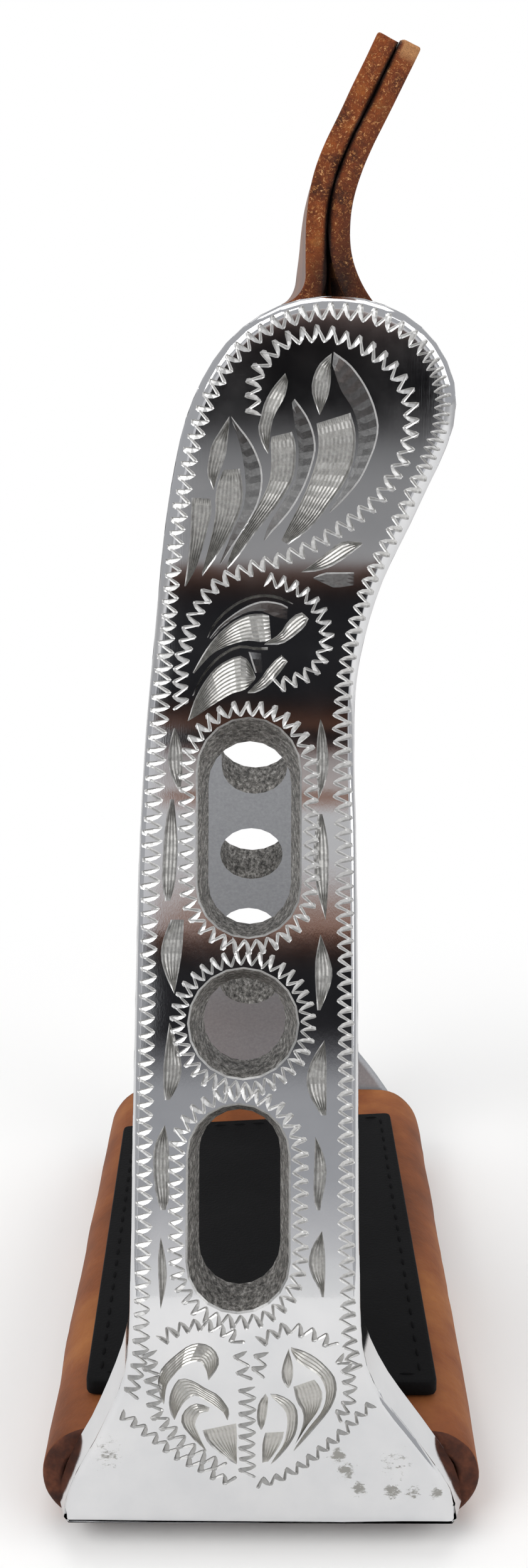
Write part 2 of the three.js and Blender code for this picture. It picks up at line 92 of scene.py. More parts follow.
def add_node(material, kind, inputs=None, stops=(), **settings):
    """Adds a node. An input is a number, a colour or another node's output.

    The stops of a colour ramp are pairs of place and hex colour.
    """
    node = material.node_tree.nodes.new("ShaderNode" + kind)
    for name, value in settings.items():
        setattr(node, name, value)
    for name, value in (inputs or {}).items():
        socket = node.inputs[name]
        if isinstance(value, bpy.types.NodeSocket):
            material.node_tree.links.new(value, socket)
        else:
            socket.default_value = value
    if stops:
        elements = node.color_ramp.elements
        while len(elements) < len(stops):
            elements.new(0.5)
        for element, (place, colour) in zip(elements, stops):
            element.position = place
            element.color = linear(colour)
    return node


def new_material(name):
    """A material with only its output left in it."""
    material = bpy.data.materials.new(name)
    material.use_nodes = True
    material.node_tree.nodes.clear()
    return material


def finish_material(material, surface):
    """Joins the shader to the material's output."""
    output = add_node(material, "OutputMaterial")
    material.node_tree.links.new(surface, output.inputs["Surface"])
    return material


def object_pattern(material, scale=(1, 1, 1)):
    """Object coordinates in metres, stretched by scale."""
    place = add_node(material, "TexCoord")
    mapping = add_node(material, "Mapping", {"Vector": place.outputs["Object"], "Scale": scale})
    return mapping.outputs["Vector"]


# %% [markdown]
# The camera
#
# The photograph was taken from close by, a little above the neck and looking down at the
# tread. The stirrup's own outlines gave the lens and the place: 31 cm in front of the tread,
# tipped 14.6 degrees down.

# %% Camera
camera_data = bpy.data.cameras.new("camera")
camera_data.sensor_fit = "VERTICAL"
camera_data.sensor_height = 36
camera_data.lens = 40.86
camera_data.clip_start = 0.01
camera = bpy.data.objects.new("camera", camera_data)
camera.location = (1.81 * MM, -306.71 * MM, 183.90 * MM)
camera.rotation_euler = (math.radians(90 - 14.611), 0, math.radians(0.297))
bpy.context.scene.collection.objects.link(camera)
bpy.context.scene.camera = camera
bpy.context.scene.view_settings.view_transform = "Standard"
print("Camera at", [round(v, 4) for v in camera.location])


# %% [markdown]
# Floor, light and what the metal sees
#
# A mirror shows the room, not itself. The photograph's black, brown and grey bands are the
# dark room around the camera. Two studio cards with bands of colour by height stand in for
# it, and only glossy rays see them. The lamps are large and soft, and the floor is plain and
# pale.

# %% Floor and cards
def plane_piece(name, size_x, size_y, location, rotation=(0, 0, 0)):
    """A flat card for the studio, marked as not part of the object."""
    bpy.ops.mesh.primitive_plane_add(size=1, location=location, rotation=rotation)
    card = bpy.context.object
    card.name = name
    card.scale = (size_x, size_y, 1)
    bpy.ops.object.transform_apply(location=False, rotation=False, scale=True)
    return card


def see_only_in_gloss(card):
    """Hides a card from everything but reflections."""
    card.visible_camera = False
    card.visible_diffuse = False
    card.visible_transmission = False
    card.visible_volume_scatter = False
    card.visible_shadow = False


FADE_START = 0.09
FADE_END = 0.24


def studio_paper():
    """Matt pale paper, which the camera sees fade to plain white away from the stirrup."""
    paper = new_material("pale_studio_paper")
    shader = add_node(paper, "BsdfPrincipled", {
        "Base Color": linear("#f2f1ef"), "Roughness": 0.9})
    rays = add_node(paper, "LightPath")
    place = add_node(paper, "TexCoord")
    reach = add_node(paper, "VectorMath", {0: place.outputs["Object"]}, operation="LENGTH")
    fade = add_node(paper, "MapRange", {
        "Value": reach.outputs["Value"], "From Min": FADE_START, "From Max": FADE_END},
        interpolation_type="SMOOTHSTEP")
    blank = add_node(paper, "Math", {
        0: fade.outputs["Result"], 1: rays.outputs["Is Camera Ray"]}, operation="MULTIPLY")
    white = add_node(paper, "Emission", {"Color": (1, 1, 1, 1)})
    mix = add_node(paper, "MixShader", {
        "Fac": blank.outputs[0], 1: shader.outputs["BSDF"], 2: white.outputs["Emission"]})
    return finish_material(paper, mix.outputs["Shader"])


floor = plane_piece("floor", 6, 6, (0, 0, 0))
floor.data.materials.append(studio_paper())


# %% The room that the metal sees
# Each band is its height in metres and its colour.
NEAR_BANDS = (
    (0.036, "#cfcfcf"), (0.060, "#c2c2c3"), (0.069, "#aeaeb0"), (0.078, "#96979a"),
    (0.098, "#8d8e91"), (0.106, "#4b4b4e"), (0.110, "#202022"), (0.124, "#1a1a1c"),
    (0.127, "#1f1918"), (0.130, "#38261f"), (0.1325, "#573b2f"),
)
FAR_BANDS = (
    (0.035, "#c9c9c9"), (0.070, "#a8a8a9"), (0.088, "#858586"), (0.118, "#7f7f80"),
    (0.130, "#6e6e6f"), (0.140, "#3b3a3b"), (0.148, "#101011"), (0.175, "#0f0f10"),
    (0.184, "#231c1c"), (0.191, "#5a4641"), (0.203, "#8b8583"), (0.252, "#a39c9a"),
    (0.258, "#75584b"), (0.270, "#83675b"), (0.284, "#a19a98"), (0.292, "#b4b4b5"),
    (0.34, "#a6a6a6"),
)
RAGGED = 0.006
CARD_STRENGTH = 1.5


def gloss_card(name, y, half_width, outside, fade_in, fade_out, bands):
    """An upright card: bands by height in its middle, one plain tone outside, ragged between."""
    bottom, top = bands[0][0], bands[-1][0]
    height = top - bottom
    card = plane_piece(name, 2 * half_width, height, (0, y, (bottom + top) / 2),
                       (math.radians(90), 0, 0))
    see_only_in_gloss(card)
    paint = new_material(name + "_paint")
    place = add_node(paint, "TexCoord")
    wobble = add_node(paint, "TexNoise", {
        "Vector": place.outputs["Object"], "Scale": 45, "Detail": 1})
    axes = add_node(paint, "SeparateXYZ", {"Vector": place.outputs["Object"]})
    level = add_node(paint, "MapRange", {
        "Value": axes.outputs["Y"], "From Min": -height / 2, "From Max": height / 2})
    banded = add_node(paint, "ValToRGB", {"Fac": level.outputs["Result"]}, stops=[
        ((z - bottom) / height, colour) for z, colour in bands])
    ragged_x = add_node(paint, "Math", {
        0: wobble.outputs["Fac"], 1: 2 * RAGGED, 2: axes.outputs["X"]}, operation="MULTIPLY_ADD")
    sides = []
    for (start, end), low, high in ((fade_in, 1, 0), (fade_out, 0, 1)):
        side = add_node(paint, "MapRange", {
            "Value": ragged_x.outputs[0], "From Min": start + RAGGED, "From Max": end + RAGGED,
            "To Min": low, "To Max": high}, interpolation_type="SMOOTHSTEP")
        sides.append(side.outputs["Result"])
    beside = add_node(paint, "Math", {0: sides[0], 1: sides[1]}, operation="ADD", use_clamp=True)
    colour = add_node(paint, "Mix", {
        "Factor": beside.outputs[0], "A": banded.outputs["Color"], "B": linear(outside)}, data_type="RGBA")
    glow = add_node(paint, "Emission", {
        "Color": colour.outputs["Result"], "Strength": CARD_STRENGTH})
    card.data.materials.append(finish_material(paint, glow.outputs["Emission"]))


gloss_card("near_card", -0.165, 0.047, "#929395", (-0.032, -0.024), (0.026, 0.034), NEAR_BANDS)
gloss_card("far_card", -0.55, 0.24, "#b9b9bb", (-0.062, -0.044), (0.075, 0.105), FAR_BANDS)


# %% Lamps and world
def add_lamp(name, location, aim, size, power):
    """A square area lamp turned towards a point."""
    lamp_data = bpy.data.lights.new(name, "AREA")
    lamp_data.size = size
    lamp_data.energy = power
    lamp = bpy.data.objects.new(name, lamp_data)
    lamp.location = location
    lamp.rotation_euler = (Vector(aim) - Vector(location)).to_track_quat("-Z", "Y").to_euler()
    bpy.context.scene.collection.objects.link(lamp)


def white_room():
    """A world that is plain white to the camera and a softer grey to everything else."""
    world = bpy.data.worlds.new("white_room")
    world.use_nodes = True
    world.node_tree.nodes.clear()
    rays = add_node(world, "LightPath")
    soft = add_node(world, "Background", {"Color": linear("#d4d5d8"), "Strength": 0.75})
    plain = add_node(world, "Background", {"Color": (1, 1, 1, 1), "Strength": 1})
    mix = add_node(world, "MixShader", {
        "Fac": rays.outputs["Is Camera Ray"], 1: soft.outputs["Background"],
        2: plain.outputs["Background"]})
    output = add_node(world, "OutputWorld")
    world.node_tree.links.new(mix.outputs["Shader"], output.inputs["Surface"])
    return world


add_lamp("key_lamp", (-0.7, -0.75, 1.0), (0, 0, 0.08), 0.8, 9)
add_lamp("fill_lamp", (0.9, -0.55, 0.7), (0, 0, 0.08), 0.9, 5)
add_lamp("top_lamp", (0.0, 0.35, 1.2), (0, 0, 0.08), 1.0, 5)

bpy.context.scene.world = white_room()
print("Stage is set after", round(time.time() - started, 1), "s")


# %% [markdown]
# The metals
#
# The legs are cast aluminium, polished on a wheel: bright, with fine scratches up and down
# from the last pass. The engraver's cuts are fresh metal with the tool's grain in them, so
# they scatter the light and look pale on the dark mirror. The cored openings were never
# touched after casting: they keep the sand's coarse, dirty grain.

# %% Aluminium
# Places on the near foot where the polish has worn off: across and height of the middle, the
# reach, all in metres, and how much of the patch is stained.
FOOT_FACE_Y = -0.0715
WORN_PATCHES = (
    (0.0118, 0.0175, 0.0026, 0.34), (0.0130, 0.0148, 0.0026, 0.34), (0.0150, 0.0118, 0.0024, 0.36),
    (0.0200, 0.0114, 0.0026, 0.38), (0.0235, 0.0112, 0.0022, 0.34), (0.0268, 0.0110, 0.0020, 0.36),
    (0.0205, 0.0165, 0.0060, 0.18), (-0.0230, 0.0175, 0.0055, 0.20),
)


def polished_aluminium():
    """Wheel-polished cast aluminium: a mirror with fine upright scratches, stained where worn."""
    material = new_material("polished_aluminium")
    scratch_place = object_pattern(material, (1, 1, 0.02))
    scratches = add_node(material, "TexNoise", {
        "Vector": scratch_place, "Scale": 5000, "Detail": 3, "Roughness": 0.7})
    scratch_bump = add_node(material, "Bump", {
        "Height": scratches.outputs["Fac"], "Strength": 0.02, "Distance": 0.0002})
    soft_place = object_pattern(material)
    haze = add_node(material, "TexNoise", {
        "Vector": soft_place, "Scale": 90, "Detail": 5, "Roughness": 0.6})
    roughness = add_node(material, "MapRange", {
        "Value": haze.outputs["Fac"], "From Min": 0.35, "From Max": 0.7,
        "To Min": 0.05, "To Max": 0.1})
    clean = add_node(material, "ValToRGB", {"Fac": haze.outputs["Fac"]}, stops=[
        (0.3, "#cfd0d2"), (0.7, "#dadadb")])
    pits = add_node(material, "TexNoise", {
        "Vector": object_pattern(material, (1, 1, 1.8)), "Scale": 900, "Detail": 6, "Roughness": 0.75})
    worn = None
    for x, z, reach, amount in WORN_PATCHES:
        gap = add_node(material, "VectorMath", {0: soft_place, 1: (x, FOOT_FACE_Y, z)},
                       operation="DISTANCE")
        patch = add_node(material, "MapRange", {
            "Value": gap.outputs["Value"], "From Min": reach, "From Max": 0, "To Max": amount},
            interpolation_type="SMOOTHSTEP")
        patch = patch.outputs["Result"]
        if worn is not None:
            patch = add_node(material, "Math", {0: worn, 1: patch}, operation="MAXIMUM").outputs[0]
        worn = patch
    stained = add_node(material, "Math", {0: pits.outputs["Fac"], 1: worn}, operation="ADD")
    dark_share = add_node(material, "MapRange", {
        "Value": stained.outputs[0], "From Min": 0.7, "From Max": 0.8})
    colour = add_node(material, "Mix", {
        "Factor": dark_share.outputs["Result"], "A": clean.outputs["Color"],
        "B": linear("#999894")}, data_type="RGBA")
    dulled = add_node(material, "Math", {
        0: dark_share.outputs["Result"], 1: 0.4, 2: roughness.outputs["Result"]}, operation="MULTIPLY_ADD")
    shader = add_node(material, "BsdfPrincipled", {
        "Base Color": colour.outputs["Result"], "Metallic": 1, "Roughness": dulled.outputs[0],
        "Normal": scratch_bump.outputs["Normal"]})
    return finish_material(material, shader.outputs["BSDF"])


def cut_aluminium(name, roughness, colours, grain, metallic=1, painted_near_tread=("#000000", 0)):
    """Metal opened by a tool: pale, with the tool's grain, and a second tone near the tread, which is
    painted light and shade.
    """
    material = new_material(name)
    place = object_pattern(material)
    grit = add_node(material, "TexNoise", {
        "Vector": place, "Scale": 2600, "Detail": 4, "Roughness": 0.75})
    pits = add_node(material, "TexNoise", {"Vector": place, "Scale": 1500, "Detail": 3})
    blend = add_node(material, "Math", {0: grit.outputs["Fac"], 1: pits.outputs["Fac"]},
                     operation="MULTIPLY")
    fresh = add_node(material, "ValToRGB", {"Fac": blend.outputs[0]}, stops=[
        (0.1, colours[0]), (0.42, colours[1])])
    axes = add_node(material, "SeparateXYZ", {"Vector": place})
    # Low on the leg, near the tread, the colour turns by height towards a second tone: painted light and
    # shade, not a mark in the metal.
    painted_tread_tone = add_node(material, "MapRange", {
        "Value": axes.outputs["Z"], "From Min": 0.052, "From Max": 0.036, "To Max": painted_near_tread[1]})
    colour = add_node(material, "Mix", {
        "Factor": painted_tread_tone.outputs["Result"], "A": fresh.outputs["Color"],
        "B": linear(painted_near_tread[0])}, data_type="RGBA")
    bump = add_node(material, "Bump", {
        "Height": grit.outputs["Fac"], "Strength": grain, "Distance": 0.0003})
    shader = add_node(material, "BsdfPrincipled", {
        "Base Color": colour.outputs["Result"], "Metallic": metallic, "Roughness": roughness,
        "Normal": bump.outputs["Normal"]})
    return finish_material(material, shader.outputs["BSDF"])


def sand_cast_aluminium():
    """Cored walls as cast: dull, pitted and dirty, with a grain of about half a millimetre."""
    material = new_material("sand_cast_aluminium")
    place = object_pattern(material, (1, 0.4, 1))
    grains = add_node(material, "TexVoronoi", {"Vector": place, "Scale": 1900})
    darkening = add_node(material, "TexNoise", {
        "Vector": place, "Scale": 1300, "Detail": 5, "Roughness": 0.8})
    colour = add_node(material, "ValToRGB", {"Fac": darkening.outputs["Fac"]}, stops=[
        (0.36, "#2a2826"), (0.46, "#62605c"), (0.55, "#918e89"), (0.68, "#cfcdc9")])
    height = add_node(material, "Math", {0: grains.outputs["Distance"], 1: darkening.outputs["Fac"]},
                      operation="ADD")
    bump = add_node(material, "Bump", {
        "Height": height.outputs[0], "Strength": 0.8, "Distance": 0.0004})
    shader = add_node(material, "BsdfPrincipled", {
        "Base Color": colour.outputs["Color"], "Metallic": 0.55, "Roughness": 0.62,
        "Normal": bump.outputs["Normal"]})
    return finish_material(material, shader.outputs["BSDF"])


polished = polished_aluminium()
# The leaves are painted paler near the tread: a painted reflection of the bright room low down.
leaf_cut = cut_aluminium("graver_cut_aluminium", 0.34, ("#8d8c89", "#b3b2af"), 0.06,
                         painted_near_tread=("#cfcdc8", 0.45))
# The wriggle cuts are painted darker near the tread: painted shade.
zigzag_cut = cut_aluminium("wriggle_cut_aluminium", 0.36, ("#bbbab8", "#d8d8d7"), 0.05,
                           painted_near_tread=("#4e4c48", 0.42))
burnished_cut = cut_aluminium("burnished_cut_aluminium", 0.14, ("#b0b0af", "#cdcdcc"), 0.02)
satin = cut_aluminium("satin_ground_aluminium", 0.5, ("#989a9e", "#abadb0"), 0.05, 0.3)
sand_cast = sand_cast_aluminium()


# %% [markdown]
# The leg's face, laid out flat
#
# The outer face of a leg bends over two arcs, like a bell. The engraving is easier to draw
# on the face laid out flat, as (across, run) in millimetres, with the run measured up the
# face. Two functions go between the flat drawing and the bent metal.

# %% Bend and flatten
FOOT_FACE = 71.5
DECK_BOTTOM = 3.8
LEAN = math.radians(19)
FOOT_RISE = 25.9
LOWER_RADIUS = 60
LEAN_LENGTH = 64
UPPER_RADIUS = 80
BOLT_X = 10.0
BOLT_Z = 173.9
BEND_STARTS = np.cumsum([FOOT_RISE, LOWER_RADIUS * LEAN, LEAN_LENGTH, UPPER_RADIUS * LEAN])


def face_line(run):
    """The y, z and lean of the outer face at each run, as arrays."""
    run = np.asarray(run, float)
    lower, straight, upper, head = BEND_STARTS
    lean_in = np.clip(run - lower, 0, LOWER_RADIUS * LEAN) / LOWER_RADIUS
    lean_out = np.clip(run - upper, 0, UPPER_RADIUS * LEAN) / UPPER_RADIUS
    straight_part = np.clip(run - straight, 0, LEAN_LENGTH)
    lean = lean_in - lean_out
    y = -FOOT_FACE + LOWER_RADIUS * (1 - np.cos(lean_in)) + straight_part * math.sin(LEAN)
    y = y + UPPER_RADIUS * (np.cos(LEAN - lean_out) - math.cos(LEAN))
    z = DECK_BOTTOM + np.minimum(run, lower) + LOWER_RADIUS * np.sin(lean_in)
    z = z + straight_part * math.cos(LEAN)
    z = z + UPPER_RADIUS * (math.sin(LEAN) - np.sin(LEAN - lean_out)) + np.maximum(run - head, 0)
    return y, z, lean


def bend(flat, depth):
    """Flat points and depths behind the face, as points on the near leg in millimetres."""
    y, z, lean = face_line(flat[:, 1])
    return np.column_stack([flat[:, 0], y + depth * np.cos(lean), z - depth * np.sin(lean)])


def flatten(points):
    """The opposite of bend: the flat point and the depth of each point."""
    flat = np.column_stack([points[:, 0], points[:, 2] - DECK_BOTTOM])
    depth = np.zeros(len(points))
    for _ in range(12):
        y, z, lean = face_line(flat[:, 1])
        gap_y = points[:, 1] - y
        gap_z = points[:, 2] - z
        depth = gap_y * np.cos(lean) - gap_z * np.sin(lean)
        flat[:, 1] += 0.9 * (gap_y * np.sin(lean) + gap_z * np.cos(lean))
    return flat, depth


def smooth_step(value, low, high):
    """Rises from 0 at low to 1 at high."""
    t = np.clip((value - low) / (high - low), 0, 1)
    return t * t * (3 - 2 * t)


def edge_rounding(run):
    """The polished rounding along the face's edge, as in the CAD model."""
    leg, head, bottom = 1.1, 2.0, 2.5
    return (leg + (head - leg) * smooth_step(run, 122, 162)
            + (bottom - leg) * (1 - smooth_step(run, -0.6, 6)))


# %% [markdown]
# Taking the face off the CAD leg
#
# The CAD leg is right in its shape, but its face is plain. A copy keeps the back, the walls
# of the openings, the foot flange and the bolt bore. The plain face and its rounded rim
# come off, and the open edges that they leave become the borders of the engraved face.

# %% Open a leg
def open_leg(name, side):
    """A leg's copy without its face: its points in mm as a near leg, its faces and loops."""
    work = bmesh.new()
    work.from_mesh(nodes[name].data)
    bmesh.ops.remove_doubles(work, verts=work.verts, dist=2e-6)
    points = np.array([v.co for v in work.verts]) / MM
    points[:, 1] *= -side
    flat, depth = flatten(points)
    on_face = depth < edge_rounding(flat[:, 1]) + 0.03
    work.verts.ensure_lookup_table()
    plain = [f for f in work.faces if all(on_face[v.index] for v in f.verts)]
    bmesh.ops.delete(work, geom=plain, context="FACES_ONLY")
    bmesh.ops.delete(work, geom=[e for e in work.edges if not e.link_faces], context="EDGES")
    loose = [v for v in work.verts if not v.link_edges]
    bmesh.ops.delete(work, geom=loose, context="VERTS")
    work.verts.index_update()
    work.verts.ensure_lookup_table()
    open_edges = {}
    for edge in work.edges:
        if len(edge.link_faces) == 1:
            a, b = (v.index for v in edge.verts)
            open_edges.setdefault(a, []).append(b)
            open_edges.setdefault(b, []).append(a)
    loops = []
    while open_edges:
        loop = [next(iter(open_edges))]
        while True:
            choices = [v for v in open_edges.pop(loop[-1]) if v in open_edges]
            if not choices:
                break
            loop.append(choices[0])
        loops.append(loop)
    points = np.array([v.co for v in work.verts]) / MM
    points[:, 1] *= -side
    faces = [[v.index for v in f.verts] for f in work.faces]
    work.free()
    loops.sort(key=len, reverse=True)
    print(name, "opened:", len(plain), "faces off,", [len(loop) for loop in loops], "loops")
    return points, faces, loops


# %% [markdown]
# The engraver's two cuts
#
# There are two kinds of mark. The zigzag borders are wriggle work: a flat graver is rocked
# from side to side as it walks, leaving a wide facet one way and a fine line back. The
# leaves are scooped out with rows of fine flutes. A cut here is an outline with a spine or
# flutes in it. Every cut is drawn by this one class, which keeps the points, the lines
# between them, and the depth of each.

# %% The drawing
class Drawing:
    """Points, lines and outlines of the flat engraving, in millimetres."""

    def __init__(self):
        self.points = []
        self.depths = []
        self.lines = []
        self.outlines = []
        self.kinds = []
        self.strokes = []

    def add_points(self, points, depths):
        """Adds points and returns their numbers."""
        first = len(self.points)
        self.points.extend((float(p[0]), float(p[1])) for p in points)
        self.depths.extend(float(d) for d in depths)
        return list(range(first, len(self.points)))

    def add_outline(self, numbers, kind):
        """Keeps a closed outline, anticlockwise."""
        ring = [self.points[n] for n in numbers]
        area = sum(a[0] * b[1] - b[0] * a[1] for a, b in zip(ring, ring[1:] + ring[:1]))
        self.outlines.append(numbers if area > 0 else numbers[::-1])
        self.kinds.append(kind)

    def add_line(self, numbers):
        """Keeps an open line as edges."""
        self.lines.extend((a, b) for a, b in zip(numbers, numbers[1:]) if a != b)


STROKE_WIDTHS = ((0, 0.15), (0.3, 0.7), (0.85, 1), (1, 0.6))
STROKE_DEPTHS = ((0, 0), (0.45, 0.8), (0.88, 1), (1, 0))


def stroke_parts(start, end, width, skew):
    """The outline and the spine of one stroke of the graver."""
    along = end - start
    across = np.array([-along[1], along[0]]) / np.linalg.norm(along)
    left = [start + t * along + across * w * width * (0.5 + skew) for t, w in STROKE_WIDTHS]
    right = [start + t * along - across * w * width * (0.5 - skew) for t, w in STROKE_WIDTHS]
    spine = [start + t * along for t, _ in STROKE_DEPTHS[1:3]]
    return left + right[::-1], spine


def stroke_depth(points, start, end, width, depth, skew):
    """How deep one stroke is at each point, 0 outside it."""
    along = end - start
    length = np.linalg.norm(along)
    direction = along / length
    offset = points - start
    t = offset @ direction / length
    v = offset @ np.array([-direction[1], direction[0]])
    half = np.interp(t, *zip(*STROKE_WIDTHS)) * width
    side = np.where(v > 0, half * (0.5 + skew), half * (0.5 - skew))
    spine = np.interp(t, *zip(*STROKE_DEPTHS)) * depth
    inside = (t > 0) & (t < 1)
    return np.where(inside, spine * np.clip(1 - np.abs(v) / np.maximum(side, 1e-6), 0, 1), 0)


def smooth_curve(points, closed=False):
    """Fine points on a smooth curve through the given ones."""
    points = np.asarray(points, float)
    if len(points) < 3:
        return points
    ends = (points[-1:], points[:2]) if closed else (
        2 * points[:1] - points[1:2], 2 * points[-1:] - points[-2:-1])
    padded = np.vstack([ends[0], points, ends[1]])
    fine = []
    for p0, p1, p2, p3 in zip(padded, padded[1:], padded[2:], padded[3:]):
        for t in np.arange(0, 1, 0.1):
            fine.append(0.5 * (2 * p1 + (p2 - p0) * t + (2 * p0 - 5 * p1 + 4 * p2 - p3) * t ** 2
                               + (3 * p1 - p0 - 3 * p2 + p3) * t ** 3))
    fine.append(padded[-2])
    return np.array(fine)


def along_curve(fine, places):
    """Points at shares 0 to 1 of a curve's length."""
    lengths = np.concatenate([[0], np.cumsum(np.linalg.norm(np.diff(fine, axis=0), axis=1))])
    places = np.asarray(places) * lengths[-1]
    return np.column_stack([np.interp(places, lengths, column) for column in fine.T])


def tooth_steps(points, pitch_at, closed):
    """Places for the tips of a zigzag whose pitch changes along the curve."""
    fine = smooth_curve(points, closed)
    pieces = np.linalg.norm(np.diff(fine, axis=0), axis=1)
    counts = pieces / pitch_at(fine[:-1])
    lengths = np.concatenate([[0], np.cumsum(counts)])
    teeth = max(int(round(lengths[-1])), 1)
    places = np.linspace(0, lengths[-1], 2 * teeth + 1)
    return np.column_stack([np.interp(places, lengths, column) for column in fine.T])


# %% [markdown]
# Bands and leaves
#
# A band walks its zigzag along a curve. A leaf lies between two edges: the graver goes in
# steeply at the first, which flashes bright, and runs out softly at the second. Pale leaves
# have flutes along them. Burnished ones are smooth, so they mirror the room like the ground,
# with small steps across. A mark that would touch an opening or the rim is left out, and so
# is a zigzag stroke that lies mostly in a leaf.

# %% Band and leaf functions
hand = random.Random(11)
# All in millimetres: a leaf's steep wall, and how deep each cut goes.
WALL = 0.26
WIDE_STROKE_DEPTH = 0.3
FINE_STROKE_DEPTH = 0.22
LEAF_DEPTH = 0.14
FLUTE_DEPTH = 0.15
ROW_STEP = 0.04
BURNISHED_DEPTH = 0.05
BURNISHED_STEP = 0.012
# A stroke's width is a share of its tooth's step, up to a limit in millimetres.
WIDE_SHARE = 0.92
WIDE_LIMIT = 0.95
FINE_SHARE = 0.55
FINE_LIMIT = 0.58
WIDE_SKEW = 0.28


def zigzag_band(drawing, curve, height, pitch, clear_of, closed=False, flip=1):
    """Wriggle work along a curve: a wide facet one way, a fine line back."""
    pitch_at = pitch if callable(pitch) else (lambda points: np.full(len(points), pitch))
    height_at = height if callable(height) else (lambda point: height)
    steps = tooth_steps(curve, pitch_at, closed)
    tips = []
    for index, point in enumerate(steps):
        before = steps[max(index - 1, 0)]
        after = steps[min(index + 1, len(steps) - 1)]
        along = (after - before) / np.linalg.norm(after - before)
        normal = flip * np.array([-along[1], along[0]])
        step = np.linalg.norm(after - before) / 2
        lean = (-0.2 if index % 2 else 0.2) * step
        reach = height_at(point) / 2 * hand.uniform(0.92, 1.08) * (-1 if index % 2 else 1)
        tips.append(point + reach * normal + along * (lean + hand.uniform(-0.08, 0.08) * step))
    for index, (start, end) in enumerate(zip(tips, tips[1:])):
        wide = index % 2 == 0
        step = np.linalg.norm(steps[index + 1] - steps[index])
        width = min(WIDE_SHARE * step, WIDE_LIMIT) if wide else min(FINE_SHARE * step, FINE_LIMIT)
        depth = WIDE_STROKE_DEPTH if wide else FINE_STROKE_DEPTH
        skew = WIDE_SKEW * flip if wide else 0
        outline, spine = stroke_parts(start, end, width * hand.uniform(0.88, 1.1), skew)
        if not clear_of(np.array(outline)):
            continue
        ring = drawing.add_points(outline, [0] * len(outline))
        middle = drawing.add_points(spine, [0] * len(spine))
        drawing.add_outline(ring, "zigzag")
        drawing.add_line([ring[0]] + middle + [ring[3]])
        drawing.strokes.append((start, end, width, depth, skew))


def leaf(drawing, kind, steep_edge, soft_edge, clear_of, flute=0.64):
    """A leaf between its steep edge and its soft edge, both from tip to tail."""
    steep = smooth_curve(steep_edge)
    soft = smooth_curve(soft_edge)
    length = np.linalg.norm(np.diff(steep, axis=0), axis=1).sum()
    count = max(int(round(length / 1.05)), 3) + 1
    shares = np.linspace(0, 1, count)
    steep = along_curve(steep, shares)
    soft = along_curve(soft, shares)
    if not clear_of(np.vstack([steep, soft])):
        return
    widths = np.linalg.norm(soft - steep, axis=1)
    burnished = kind == "burnished"
    gap = 1.0 if burnished else flute / 2
    columns = max(int(round(widths.max() / gap)), 3) + 2
    inner = np.linspace(0, 1, columns - 1)[None, :]
    wall = np.minimum(WALL / np.maximum(widths, 1e-6), 0.3)[:, None]
    places = np.hstack([np.zeros((count, 1)), wall + (1 - wall) * inner])
    fullness = np.clip(widths / (0.5 * widths.max() + 1e-6), 0, 1)[:, None]
    floor = 1 - places
    if burnished:
        sunk = BURNISHED_DEPTH * floor + BURNISHED_STEP * (np.arange(count) % 2)[:, None]
    else:
        sunk = LEAF_DEPTH * floor + FLUTE_DEPTH * (np.arange(columns) % 2)[None, :]
        sunk = sunk + ROW_STEP * (np.arange(count) % 2)[:, None]
    sunk = sunk * fullness
    sunk[:, 0] = 0
    sunk[:, -1] = 0
    sunk[0] = 0
    sunk[-1] = 0
    grid = steep[:, None, :] + (soft - steep)[:, None, :] * places[:, :, None]
    numbers = np.array(drawing.add_points(grid.reshape(-1, 2), sunk.reshape(-1)))
    numbers = numbers.reshape(grid.shape[:2])
    for column in range(columns):
        drawing.add_line([int(n) for n in numbers[:, column]])
    if burnished:
        for row in range(1, count - 1):
            drawing.add_line([int(n) for n in numbers[row]])
    far_side = list(numbers[-1, 1:]) + list(numbers[-2::-1, -1])
    top_side = list(numbers[0, -2:0:-1])
    drawing.add_outline([int(n) for n in list(numbers[:, 0]) + far_side + top_side], kind)
    wall_ring = list(numbers[:, 0]) + list(numbers[::-1, 1])
    drawing.add_outline([int(n) for n in wall_ring], "wall")


def petal(stations):
    """A margin petal's two edges, from stations of across, run, left and right width."""
    rows = smooth_curve(stations)
    steep = rows[:, :2] - np.column_stack([rows[:, 2], 0 * rows[:, 2]])
    soft = rows[:, :2] + np.column_stack([rows[:, 3], 0 * rows[:, 3]])
    return "pale", steep[::6], soft[::6]


# %% [markdown]
# The engraver's plan
#
# The plan follows a traditional western leaf scroll. Tall leaves fill the head inside a
# curling zigzag, a second, smaller scroll sits under it, petals run down both margins, and
# curling leaves fill a heart at the foot. A petal is a row of stations: across, run, and its
# width to the left and right. A leaf is its kind, its steep edge and its soft edge.

